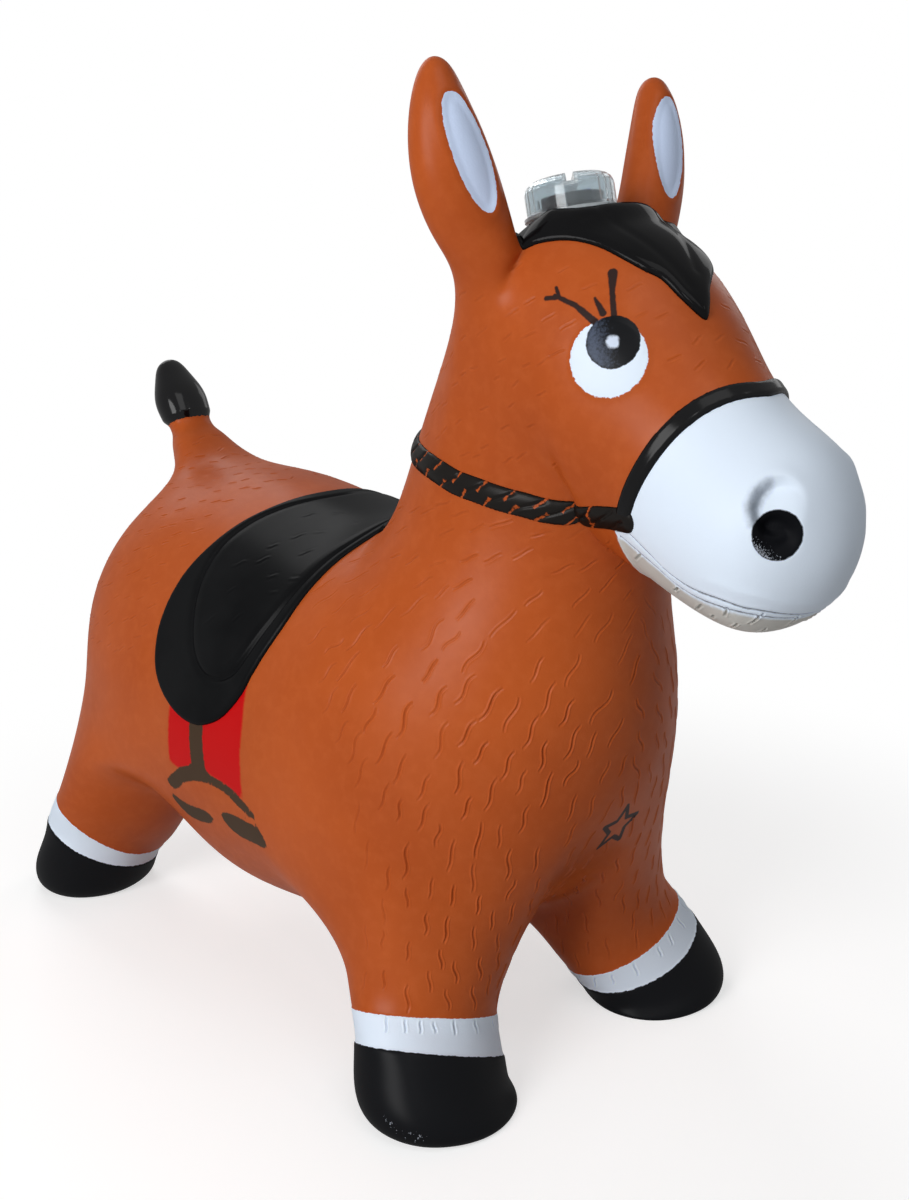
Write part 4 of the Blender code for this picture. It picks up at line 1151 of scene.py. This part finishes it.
def make_skin():
    skin = link("horse_skin", body_mesh.copy())
    axis = Matrix.Rotation(radians(-MODULE_TILT), 4, "X")
    drums = (
        (POCKET_RADIUS, POCKET_DEPTH, Matrix.Translation(MODULE_PLACE) @ axis, -1),
        (VALVE_RECESS_RADIUS, VALVE_RECESS_DEPTH, Matrix.Translation(VALVE_PLACE), 1),
        (VALVE_BORE_RADIUS, VALVE_BORE_DEPTH, Matrix.Translation(VALVE_PLACE), 1),
    )
    for radius, deep, place, way in drums:
        cut_drum(skin, radius, deep, place, way)
    mesh = skin.data
    points = coordinates(mesh)
    grooves = Grooves([*map(stroke_path, fur_strokes() + sock_strokes()), *jaw_paths()])
    for margin in (3.0, 0.0):
        fine = (mouth_field(points) < 1.5 + margin) & (muzzle_field(points) < 1)
        fine |= ink_field(points) < 1.0 + margin
        fine |= grooves.nearest(points)[1] < STROKE_REACH + margin
        fine |= near_place(points, NOSTRIL, 27)
        refined(mesh, fine)
        points = coordinates(mesh)
    furrow_and_painted_shade = grooves.relief(points)
    relief = skin_relief(points) + furrow_and_painted_shade
    place_points(mesh, points + normals(mesh) * relief[:, None] * MM)
    # The strokes' depth is kept for the painted shade in their grooves and the painted highlight on their
    # lips
    store(mesh, "furrow_and_painted_shade", furrow_and_painted_shade)
    for name, values in paint_fields(points).items():
        store(mesh, name, values)
    mesh.shade_smooth()
    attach(skin, "horse")
    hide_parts("body_skin")
    return skin


def cut_drum(piece, radius, deep, place, way):
    """Cuts a round hole into the piece, and leaves a plain mesh."""
    overrun = 0.012
    shape = bmesh.new()
    middle = Matrix.Translation((0, 0, way * (deep - overrun) / 2))
    bmesh.ops.create_cone(
        shape, cap_ends=True, segments=48, radius1=radius, radius2=radius, depth=deep + overrun,
        matrix=place @ middle,
    )
    mesh = bpy.data.meshes.new("drum")
    shape.to_mesh(mesh)
    shape.free()
    cutter = link("drum", mesh)
    step = piece.modifiers.new("Hole", "BOOLEAN")
    step.operation = "DIFFERENCE"
    step.solver = "EXACT"
    step.object = cutter
    made = with_modifiers(piece)
    piece.modifiers.remove(step)
    piece.data = made
    bpy.data.objects.remove(cutter)


# Fur strokes: small S grooves moulded in the skin, and a few ridges on the saddle's seat

Stroke = namedtuple("Stroke", "place length turn bend depth")

# At heights on chest and throat: how far back the strokes reach, and their turn up from level
FUR_BACK_EDGE = ((40, -75), (119, -84), (183, -62), (205, -48), (234, -20), (271, 8), (290, 10))
FUR_TURN = ((40, 88), (100, 84), (150, 76), (200, 62), (240, 55), (262, 42), (285, 22), (310, 18))
CHEST_TOP = 262
THROAT_TOP = 302

# Cheeks, forehead and rump: heights, span back, gap across, length, turn up from level and depth
FurPatch = namedtuple("FurPatch", "low high front back gap length turn depth")
FUR_PATCHES = (
    FurPatch(326, 372, -150, -55, 14.0, 7.0, 26.0, 0.24),
    FurPatch(372, 415, -300, -60, 15.0, 8.0, 30.0, 0.22),
    FurPatch(186, 296, 112, 300, 13.0, 7.5, 26.0, 0.28),
)

# A stroke's half width, how far the mesh is made fine around it and to what edge, and its lips' height
# against its depth, in millimetres
STROKE_STEPS = 20
STROKE_WIDTH = 0.50
STROKE_REACH = 1.4
FINE_EDGE = 0.75
LIP_SHARE = 0.50
SADDLE_STROKE_WIDTH = 0.75
SADDLE_STROKE_DEPTH = -0.22

# Bare skin round paint and raised pieces that the strokes keep off, in millimetres
PAINT_MARGIN = 5
MUZZLE_MARGIN = 3
ROPE_MARGIN = 4
SOCK_MARGIN = 8
MODULE_MARGIN = 34


def stroke_kind(place):
    """Gap across, length, turn up from level and depth of the strokes at a place, or nothing there."""
    _, y, z = (value / MM for value in place)
    edge = looked_up(z, FUR_BACK_EDGE)
    turn = looked_up(z, FUR_TURN)
    if y < edge and z < CHEST_TOP:
        strong = smoothstep(edge + 4, edge - 22, y) * smoothstep(246, 214, z)
        return 9.5, 18.0 if z > 120 else 14.0, turn, 0.22 + 0.32 * strong
    if y < edge and CHEST_TOP <= z < THROAT_TOP and (z < 292 or y > -150):
        return 12.0, 11.5, turn, 0.27
    for patch in FUR_PATCHES:
        if patch.low < z < patch.high and patch.front < y < patch.back:
            return patch.gap, patch.length, patch.turn, patch.depth
    return None


def clear_of_marks(points):
    """Whether a place is bare brown skin, away from paint, raised pieces, the module and the ears."""
    paints = paint_fields(points)
    fields = [paints[name] for name in ("red", "dark", "ink", "nostril", "gloss", "eye", "patch")]
    fields += [field(points) for field in (saddle_field, forelock_field, band_field)]
    near = np.minimum(np.minimum.reduce(fields), muzzle_field(points) - MUZZLE_MARGIN)
    clear = (near > PAINT_MARGIN) & (rope_field(points) > ROPE_MARGIN)
    clear &= leg_line_field(points, SOCK_TOPS) > SOCK_MARGIN
    clear &= np.linalg.norm(points - np.array(MODULE_PLACE), axis=1) > MODULE_MARGIN * MM
    ear = (points[:, 2] > 0.418) | ((np.abs(points[:, 0]) > 0.052) & (points[:, 2] > 0.40))
    return clear & ~ear


def fur_strokes():
    random = Random(11)
    order = list(np.where(clear_of_marks(body_points))[0])
    random.shuffle(order)
    placed = np.empty((0, 3))
    strokes = []
    for i in order:
        place = body_points[i]
        kind = stroke_kind(place)
        if kind is None:
            continue
        gap, length, turn, depth = kind
        way, across = stroke_axes(Vector(place), Vector(body_normals[i]), radians(turn))
        away = (placed - place) / MM
        along_shares = away @ np.array(way) / (length * 0.92)
        across_shares = away @ np.array(across) / gap
        depth_shares = away @ body_normals[i] / gap
        if (along_shares**2 + across_shares**2 + depth_shares**2 < 1).any():
            continue
        placed = np.vstack([placed, place])
        if random.random() < 0.05:
            continue
        strokes.append(
            Stroke(
                place=Vector(place),
                length=length * random.uniform(0.7, 1.15) * MM,
                turn=radians(turn + random.uniform(-9, 9)),
                bend=random.uniform(0.3, 0.9) * (1 if turn > 50 else 0.5) * random.choice((1, 1, 1, 1, -1)),
                depth=depth * random.uniform(0.75, 1.2),
            )
        )
    return strokes


def sock_strokes():
    """Upright strokes that cross the sock's top edge on the fore legs."""
    random = Random(23)
    strokes = []
    for side in (-1, 1):
        line = SOCK_TOPS["fore", side]
        angle = -150.0
        while angle < 40:
            angle += random.uniform(9, 17)
            middle = Vector((side * 0.084, -0.072, 0.045))
            heading = Vector((side * cos(radians(angle)) * -1, sin(radians(angle)), 0))
            hit, _, _, _ = body_tree.ray_cast(middle, heading)
            if hit is None:
                continue
            for _ in range(4):
                level = line_level(line, abs(hit.x) / MM, hit.y / MM)
                hit = on_body(Vector((hit.x, hit.y, (level - 4.8) * MM)))[0]
            strokes.append(
                Stroke(
                    place=hit,
                    length=random.uniform(5.5, 8.0) * MM,
                    turn=radians(84 + random.uniform(-14, 12)),
                    bend=random.uniform(0.4, 0.9),
                    depth=0.8,
                )
            )
    return strokes


def stroke_axes(place, normal, turn):
    """Way along a stroke and way across it, for a turn up from level toward the front."""
    side = -1 if place.x < 0 else 1
    level = Vector((0, 0, 1)).cross(normal)
    if level.length < 0.2:
        level = Vector((0, -1, 0)).cross(normal)
    level = level.normalized() * -side
    up = normal.cross(level).normalized()
    if up.z < 0:
        up.negate()
    way = (level * cos(turn) + up * sin(turn)).normalized()
    return way, normal.cross(way)


def stroke_path(stroke):
    """Places on the body along a stroke's middle line, and its depth."""
    place, normal = on_body(stroke.place)
    way, across = stroke_axes(place, normal, stroke.turn)
    path = []
    for i in range(STROKE_STEPS):
        t = i / (STROKE_STEPS - 1) - 0.5
        swing = stroke.bend * 0.085 * stroke.length * sin(tau * t)
        path.append(on_body(place + way * (t * stroke.length) + across * swing))
    return path, stroke.depth


class Grooves:
    """Depth of many strokes at once, read from points along their middle lines."""

    def __init__(self, paths, width=STROKE_WIDTH):
        self.width = width
        self.spots = []
        self.ways = []
        self.sides = []
        self.depths = []
        for path, depth in paths:
            last = len(path) - 1
            for i, (spot, out) in enumerate(path):
                heading = (path[min(i + 1, last)][0] - path[max(i - 1, 0)][0]).normalized()
                self.spots.append(spot)
                self.ways.append(heading)
                self.sides.append(out.cross(heading).normalized())
                self.depths.append(depth * max(0.0, 1 - (2 * i / last - 1) ** 2) ** 0.4)
        self.tree = KDTree(len(self.spots))
        for i, spot in enumerate(self.spots):
            self.tree.insert(spot, i)
        self.tree.balance()
        self.spots, self.ways, self.sides = (np.array(v) for v in (self.spots, self.ways, self.sides))
        self.depths = np.array(self.depths)

    def nearest(self, points):
        found = [self.tree.find(point)[1:] for point in points]
        return np.array([row[0] for row in found]), np.array([row[1] for row in found]) / MM

    def relief(self, points):
        """Groove with low lips, in millimetres."""
        index, reach = self.nearest(points)
        away = (points - self.spots[index]) / MM
        across = np.abs((away * self.sides[index]).sum(1))
        past = np.clip(np.abs((away * self.ways[index]).sum(1)) - 0.6, 0, None)
        depth = self.depths[index] * bell(past, 0.7) * (reach < 7 * self.width)
        lip = LIP_SHARE * bell(across - 1.9 * self.width, 0.8 * self.width)
        return depth * (lip - bell(across, self.width))


JAW_LINES = (
    ((-27.2, -248.1, 274.5), (-26.5, -240.2, 267.4)), ((-10, -254, 271.4), (-7, -245.4, 263.3)),
    ((-28.7, -236, 267.2), (-24.5, -229, 263)), ((-17.2, -242.8, 264.2), (-15, -237, 260.5)),
    ((-36.7, -236, 276.5), (-33.5, -232, 270)), ((-31.8, -225.3, 269.3), (-29.5, -222, 266)),
    ((-35.5, -221.5, 274.3), (-29, -214, 269)), ((-38.6, -190.1, 291.3), (-33, -182, 286)),
    ((-36.7, -209.6, 279.4), (-33.5, -205.4, 276.6)),
)
JAW_DEPTH = 1.3


def jaw_paths():
    paths = []
    for line in JAW_LINES:
        for side in (-1, 1):
            start, end = (Vector((-x * side, y, z)) * MM for x, y, z in line)
            path = [on_body(start.lerp(end, i / (STROKE_STEPS - 1))) for i in range(STROKE_STEPS)]
            paths.append((path, JAW_DEPTH))
    return paths


SADDLE_STROKES = (
    (54, 33), (41, 52), (50, 64), (48, 75), (31, 83), (21, 92), (9, 97), (54, 98), (12, 81), (30, 45),
    (22, 62), (62, 82), (38, 112), (58, 118), (40, 24), (14, 30),
)


def saddle_strokes():
    """Short curved ridges on the seat panel, at places on the barrel chart."""
    random = Random(5)
    strokes = []
    for side in (-1, 1):
        for along, down in SADDLE_STROKES:
            turn = down * MM / BARREL_WRAP
            start = Vector((0, along * MM, BARREL_AXIS))
            hit, _, _, _ = body_tree.ray_cast(start, Vector((side * sin(turn), 0, cos(turn))))
            length = random.uniform(7, 11) * MM
            slant = radians(random.uniform(5, 40))
            strokes.append(Stroke(hit, length, slant, random.uniform(0.6, 1.2), SADDLE_STROKE_DEPTH))
    return strokes


# Materials


def new_material(name):
    made = bpy.data.materials.new(name)
    made.use_nodes = True
    return made, made.node_tree, made.node_tree.nodes["Principled BSDF"]


def add_node(tree, kind, **values):
    made = tree.nodes.new(kind)
    for key, value in values.items():
        setattr(made, key, value)
    return made


def fed(tree, sockets, values):
    """Gives each socket its colour, its number or its link."""
    for socket, value in zip(sockets, values):
        if isinstance(value, tuple):
            socket.default_value = (*value, 1)
        elif isinstance(value, (int, float)):
            socket.default_value = value
        else:
            tree.links.new(value, socket)


def fed_by_name(tree, node, values):
    fed(tree, [node.inputs[name] for name in values], values.values())


def noise_node(tree, scale, detail=3.0, rough=0.55):
    where = tree.nodes.get("Object place") or add_node(tree, "ShaderNodeTexCoord", name="Object place")
    made = add_node(tree, "ShaderNodeTexNoise")
    values = {"Scale": scale, "Detail": detail, "Roughness": rough, "Vector": where.outputs["Object"]}
    fed_by_name(tree, made, values)
    return made.outputs["Fac"]


def ranged(tree, value, low, high, to_low, to_high, smooth=False):
    made = add_node(tree, "ShaderNodeMapRange")
    if smooth:
        made.interpolation_type = "SMOOTHSTEP"
    names = ("Value", "From Min", "From Max", "To Min", "To Max")
    fed_by_name(tree, made, dict(zip(names, (value, low, high, to_low, to_high))))
    return made.outputs["Result"]


def combined(tree, operation, first, second):
    made = add_node(tree, "ShaderNodeMath", operation=operation)
    fed(tree, made.inputs, (first, second))
    return made.outputs["Value"]


def mixed(tree, factor, first, second, kind="RGBA"):
    """A mix of two colours, or of two numbers where the kind is VALUE."""
    made = add_node(tree, "ShaderNodeMix", data_type="RGBA" if kind == "RGBA" else "FLOAT")
    ends = [s for s in made.inputs if s.type == kind and s.name in ("A", "B")]
    fed(tree, [made.inputs["Factor"], *ends], (factor, first, second))
    return [s for s in made.outputs if s.type == kind][0]


def scaled(tree, color, factor):
    made = add_node(tree, "ShaderNodeVectorMath", operation="SCALE")
    fed_by_name(tree, made, {"Vector": color, "Scale": factor})
    return made.outputs["Vector"]


def add_bump(tree, shader, height, distance, strength):
    made = add_node(tree, "ShaderNodeBump")
    fed_by_name(tree, made, {"Strength": strength, "Distance": distance, "Height": height})
    tree.links.new(made.outputs["Normal"], shader.inputs["Normal"])


def attribute(tree, name):
    made = add_node(tree, "ShaderNodeAttribute", attribute_name=name)
    return made.outputs["Fac"]


def srgb(red, green, blue):
    """A colour as the picture shows it, in 0 to 255, as linear light."""
    shares = [value / 255 for value in (red, green, blue)]
    return tuple(v / 12.92 if v <= 0.04045 else ((v + 0.055) / 1.055) ** 2.4 for v in shares)


BROWN = srgb(176, 82, 33)
BROWN_DEEP = srgb(162, 72, 27)
BROWN_PALE = srgb(188, 96, 48)
WHITE = srgb(218, 230, 244)
PATCH = srgb(206, 222, 250)
# Cream-grey of the lower jaw, darker than the paint itself as painted shade under the jaw
JAW_CREAM_AND_SHADE = srgb(190, 189, 184)
# Dark grey of the painted shade in the mouth's grooves
MOUTH_SHADE = srgb(84, 87, 96)
RED = srgb(182, 3, 5)
DARK = srgb(58, 42, 27)
INK = srgb(36, 20, 17)
BLACK = srgb(12, 13, 16)
HAZE = srgb(80, 90, 110)
GLINT = srgb(200, 211, 228)
# Grey of the painted shade along the nostril's flare
FLARE_SHADE_GREY = srgb(92, 100, 114)
SPECK = srgb(150, 156, 166)
GLOSS_BLACK = srgb(7, 7, 9)

# Paint layers from the bottom up. The softness and the waver of the edge, and how far the paint grows
# past its line, are in millimetres. Cover is its greatest share, and grain the fineness of the waver
Paint = namedtuple(
    "Paint", "name color roughness soft wobble gleam grain grow cover", defaults=(0.28, 420.0, 0.0, 1.0)
)
PAINTS = (
    Paint("red", RED, 0.45, 1.2, 0.8),
    Paint("white", WHITE, 0.42, 0.12, 0.5),
    Paint("eye", WHITE, 0.42, 0.25, 0.9, 0.28, 600.0),
    Paint("patch", PATCH, 0.42, 0.12, 0.5),
    # Lower jaw: cream-grey paint, with painted shade in its darker colour
    Paint("jaw_cream_and_shade", JAW_CREAM_AND_SHADE, 0.45, 1.2, 0.6),
    # Painted shade in the grooves of the two mouth lines
    Paint("mouth_shade", MOUTH_SHADE, 0.5, 0.5, 0.3, grow=0.35),
    Paint("dark", DARK, 0.50, 0.5, 0.9),
    Paint("ink", INK, 0.45, 0.35, 0.3),
    Paint("pupil", BLACK, 0.30, 0.25, 0.5, 0.18),
    Paint("haze", HAZE, 0.35, 5.5, 6.0, 0.18, 900.0, cover=0.75),
    Paint("glint", GLINT, 0.30, 0.7, 0.8),
    Paint("black", BLACK, 0.36, 0.15, 0.5, 0.14),
    Paint("wear", SPECK, 0.5, 0.5, 9.0, 0.10, 700.0),
    # Painted shade along the wall of the nostril's flare
    Paint("flare_shade", FLARE_SHADE_GREY, 0.42, 2.6, 0.8, cover=0.75),
    Paint("nostril", BLACK, 0.45, 0.35, 0.35, 0.06),
    Paint("speck", SPECK, 0.5, 0.5, 8.0, 0.10, 1500.0),
    Paint("gloss", GLOSS_BLACK, 0.12, 0.12, 0.6, 0.35),
)


def brown_base(tree):
    """Colour and roughness of the bare brown PVC."""
    broad = noise_node(tree, 9.0, 3.0)
    fine = noise_node(tree, 160.0, 4.0)
    color = mixed(tree, ranged(tree, broad, 0.35, 0.68, 0.0, 1.0), BROWN_DEEP, BROWN)
    color = mixed(tree, ranged(tree, fine, 0.45, 0.80, 0.0, 0.30), color, BROWN_PALE)
    return color, ranged(tree, noise_node(tree, 38.0, 4.0), 0.3, 0.7, 0.31, 0.39)


def painted(name, paints):
    """Brown PVC under layers of paint, whose edges come from the mesh's own distances."""
    made, tree, shader = new_material(name)
    color, roughness = brown_base(tree)
    edges = {
        grain: ranged(tree, noise_node(tree, grain, 3.0, 0.6), 0.3, 0.7, -1.0, 1.0)
        for grain in sorted({paint.grain for paint in paints})
    }
    gleam = ranged(tree, noise_node(tree, 20.0, 2.0), 0.3, 0.7, 0.22, 0.30)
    for paint in paints:
        reach = combined(tree, "MULTIPLY_ADD", edges[paint.grain], paint.wobble * 0.5)
        tree.links.new(attribute(tree, paint.name), reach.node.inputs[2])
        factor = ranged(
            tree, reach, paint.grow + paint.soft, paint.grow - paint.soft, 0.0, paint.cover, smooth=True
        )
        color = mixed(tree, factor, color, paint.color)
        roughness = mixed(tree, factor, roughness, paint.roughness, "VALUE")
        gleam = mixed(tree, factor, gleam, paint.gleam, "VALUE")
    # Painted shade in the strokes' grooves and painted highlight on their lips: the colour is darkened
    # where the furrow is deep and lightened on its lips
    color = scaled(tree, color, ranged(tree, attribute(tree, "furrow_and_painted_shade"), -0.6, 0.25, 0.94, 1.32))
    fed_by_name(
        tree, shader,
        {"Base Color": color, "Roughness": roughness, "Coat Weight": gleam, "Coat Roughness": roughness,
         "Specular IOR Level": 0.0},
    )
    grain = combined(tree, "ADD", noise_node(tree, 900.0, 2.0), noise_node(tree, 70.0, 3.0))
    add_bump(tree, shader, grain, 0.0001, 0.5)
    return made


def molded(name, color, roughness, metallic=0.0, transmission=0.0, grain=700.0, bump=0.00004, spread=0.08,
           coat=0.0, tint=0.12, ior=1.5, specular=0.5):
    """A moulded or plated surface: colour, roughness and height all vary a little."""
    made, tree, shader = new_material(name)
    pale = tuple(min(1.0, c * (1 + tint) + 0.004) for c in color)
    deep = tuple(c * (1 - tint) for c in color)
    drift = ranged(tree, noise_node(tree, grain / 12, 3.0), 0.35, 0.65, 0.0, 1.0)
    smoothest = max(0.0, roughness - spread)
    rough = ranged(tree, noise_node(tree, grain / 5, 4.0), 0.3, 0.7, smoothest, roughness + spread)
    fed_by_name(
        tree, shader,
        {"Base Color": mixed(tree, drift, deep, pale), "Roughness": rough, "Metallic": metallic,
         "Transmission Weight": transmission, "IOR": ior, "Specular IOR Level": specular,
         "Coat Weight": coat, "Coat Roughness": roughness},
    )
    add_bump(tree, shader, noise_node(tree, grain, 3.0), bump, 0.6)
    return made


skin = make_skin()
skin.data.materials.append(painted("painted_pvc", PAINTS))

saddle_grooves = Grooves(map(stroke_path, saddle_strokes()), SADDLE_STROKE_WIDTH)
saddle = raised("saddle", saddle_field, saddle_height, (0, -0.5, -1.3, -2.4, -3.6), finer=2)
saddle.data.materials.append(
    molded("saddle_black", srgb(8, 9, 11), 0.28, grain=240.0, bump=0.00006, coat=0.10, specular=0.0)
)
forelock = raised("forelock", forelock_field, forelock_height, (0, -0.6, -1.6, -3.0), finer=2)
forelock.data.materials.append(
    molded("forelock_black", GLOSS_BLACK, 0.10, grain=120.0, bump=0.00015, spread=0.05, coat=0.13,
           specular=0.0)
)
noseband = raised("noseband", band_field, band_height, (0, -0.5, -1.2, -2.2))
noseband.data.materials.append(
    molded("noseband_black", GLOSS_BLACK, 0.15, grain=160.0, bump=0.0001, coat=0.22, specular=0.0)
)
rope = raised("cheek_rope", rope_field, rope_height, (0, -0.5, -1.3, -2.6), finer=2)
spots = coordinates(rope.data)
worn = np.maximum(rope_chart(spots)[0] - ROPE_PAINT, STRAND_GAP - rope_groove(spots))
worn = np.where(spots[:, 1] < ROPE_SOLID, -1.0, worn)
store(rope.data, "dark_paint", worn)
rope_paint = Paint("dark_paint", srgb(20, 17, 15), 0.30, 0.2, 0.8, 0.20)
rope.data.materials.append(painted("painted_rope", [rope_paint]))

# Finishes of the module's and the valve's own pieces

FINISHES = {
    "white_plastic": molded("valve_white", srgb(232, 232, 228), 0.35, grain=500.0),
    "milky_plastic": molded("frosted_cup", srgb(206, 214, 218), 0.30, transmission=0.35, grain=600.0),
    "clear_plastic": molded("clear_cap", srgb(206, 217, 222), 0.20, transmission=0.94, spread=0.04,
                            tint=0.03, ior=1.46, bump=0.000008),
    "dark_plastic": molded("tray_dark", srgb(34, 38, 44), 0.42, grain=800.0),
    "steel": molded("nickel", srgb(205, 207, 210), 0.24, metallic=1.0, grain=900.0),
    "brass": molded("brass_strip", srgb(214, 186, 120), 0.28, metallic=1.0, grain=900.0),
    "green_board": molded("solder_mask", srgb(28, 96, 60), 0.36, grain=900.0, coat=0.3),
    "red_lens": molded("red_lamp", srgb(215, 30, 30), 0.12, transmission=0.5),
    "green_lens": molded("green_lamp", srgb(50, 205, 70), 0.12, transmission=0.5),
    "blue_lens": molded("blue_lamp", srgb(40, 80, 220), 0.12, transmission=0.5),
    "black_epoxy": molded("epoxy_drop", srgb(24, 24, 25), 0.20, grain=400.0, coat=0.3),
    "grey_plastic": molded("speaker_grey", srgb(108, 109, 111), 0.48, grain=700.0),
    "magnet": molded("magnet_plate", srgb(150, 151, 153), 0.32, metallic=1.0, grain=800.0),
    "clear_film": molded("cone_film", srgb(196, 188, 172), 0.25, transmission=0.25, grain=500.0),
    "wire_pvc": molded("wire_red", srgb(180, 30, 30), 0.40, grain=600.0),
}
slots = {part["node"]: part["material_slot"] for part in frame["record"]["subparts"]}
for name, node in frame["nodes"].items():
    if slots[name] in FINISHES:
        for slot in node.material_slots:
            slot.material = FINISHES[slots[name]]

# Floor, lights and camera


FLOOR_GREY = 0.62
FLOOR_GLOW = 0.60
FLOOR_FADE = (0.26, 0.6)
AMBIENT = 0.06


def seen_directly(tree):
    """1 for rays of the camera, of reflections and of what is seen through clear plastic."""
    light = add_node(tree, "ShaderNodeLightPath")
    seen = combined(tree, "MAXIMUM", light.outputs["Is Camera Ray"], light.outputs["Is Glossy Ray"])
    return combined(tree, "MAXIMUM", seen, light.outputs["Is Transmission Ray"])


def stage():
    bpy.ops.mesh.primitive_plane_add(size=8, location=(0, 0, 0))
    floor = bpy.context.object
    floor.name = "studio_floor"
    made, tree, shader = new_material("floor")
    tree.nodes.remove(shader)
    seen = seen_directly(tree)
    where = add_node(tree, "ShaderNodeTexCoord")
    reach = add_node(tree, "ShaderNodeVectorMath", operation="LENGTH")
    tree.links.new(where.outputs["Object"], reach.inputs[0])
    fade = ranged(tree, reach.outputs["Value"], *FLOOR_FADE, 0.0, 1.0, smooth=True)
    far = combined(tree, "MULTIPLY", fade, seen)
    diffuse = add_node(tree, "ShaderNodeBsdfDiffuse")
    diffuse.inputs["Color"].default_value = (FLOOR_GREY, FLOOR_GREY, FLOOR_GREY, 1)
    near_glow = add_node(tree, "ShaderNodeEmission")
    tree.links.new(combined(tree, "MULTIPLY", seen, FLOOR_GLOW), near_glow.inputs["Strength"])
    near = add_node(tree, "ShaderNodeAddShader")
    tree.links.new(diffuse.outputs["BSDF"], near.inputs[0])
    tree.links.new(near_glow.outputs["Emission"], near.inputs[1])
    far_glow = add_node(tree, "ShaderNodeEmission")
    both = add_node(tree, "ShaderNodeMixShader")
    tree.links.new(far, both.inputs[0])
    tree.links.new(near.outputs["Shader"], both.inputs[1])
    tree.links.new(far_glow.outputs["Emission"], both.inputs[2])
    tree.links.new(both.outputs["Shader"], tree.nodes["Material Output"].inputs["Surface"])
    floor.data.materials.append(made)


def world_light():
    world = bpy.data.worlds.new("studio")
    scene.world = world
    world.use_nodes = True
    tree = world.node_tree
    background = tree.nodes["Background"]
    background.inputs["Color"].default_value = (1, 1, 1, 1)
    strength = ranged(tree, seen_directly(tree), 0.0, 1.0, AMBIENT, 1.0)
    tree.links.new(strength, background.inputs["Strength"])


# Soft lamps: name, place, what it points at, size and power
LAMPS = (
    ("key", (-1.6, -0.3, 0.80), (0, 0, 0.25), (0.8, 0.8), 18),
    ("top", (-0.25, -0.80, 1.45), (0, -0.1, 0.3), (0.7, 0.7), 3.4),
    ("back", (0.35, 1.3, 1.3), (0, 0, 0.25), (0.9, 0.9), 8),
    ("left", (1.4, 0.3, 0.9), (0, 0, 0.25), (0.6, 0.6), 3),
    ("glint_left", (-0.75, -0.9, 1.0), (0, -0.1, 0.35), (0.08, 0.14), 0.7),
    ("glint_right", (0.35, -1.0, 1.2), (0, -0.1, 0.35), (0.08, 0.12), 0.35),
)


def softbox(name, place, target, size, power):
    lamp = bpy.data.lights.new(name, "AREA")
    lamp.shape = "RECTANGLE"
    lamp.size = size[0]
    lamp.size_y = size[1]
    lamp.energy = power
    box = bpy.data.objects.new(name, lamp)
    scene.collection.objects.link(box)
    box.location = place
    box.rotation_euler = (Vector(target) - Vector(place)).to_track_quat("-Z", "Y").to_euler()


CAMERA_PLACE = Vector((-0.5043, -0.5738, 0.4347))
CAMERA_BACK = Vector((-0.6566, -0.7066, 0.2639))
PHOTO_SIZE = (909, 1200)
CAMERA_PIXELS = 1420
SENSOR = 36.0


def camera():
    made = bpy.data.cameras.new("camera")
    made.sensor_fit = "AUTO"
    made.sensor_width = SENSOR
    made.lens = CAMERA_PIXELS / PHOTO_SIZE[1] * SENSOR
    made.clip_start = 0.01
    eye = bpy.data.objects.new("camera", made)
    scene.collection.objects.link(eye)
    eye.location = CAMERA_PLACE
    eye.rotation_euler = (-CAMERA_BACK).to_track_quat("-Z", "Y").to_euler()
    scene.camera = eye


stage()
world_light()
for name, place, target, size, power in LAMPS:
    softbox(name, place, target, size, power)
camera()
scene.view_settings.view_transform = "Standard"
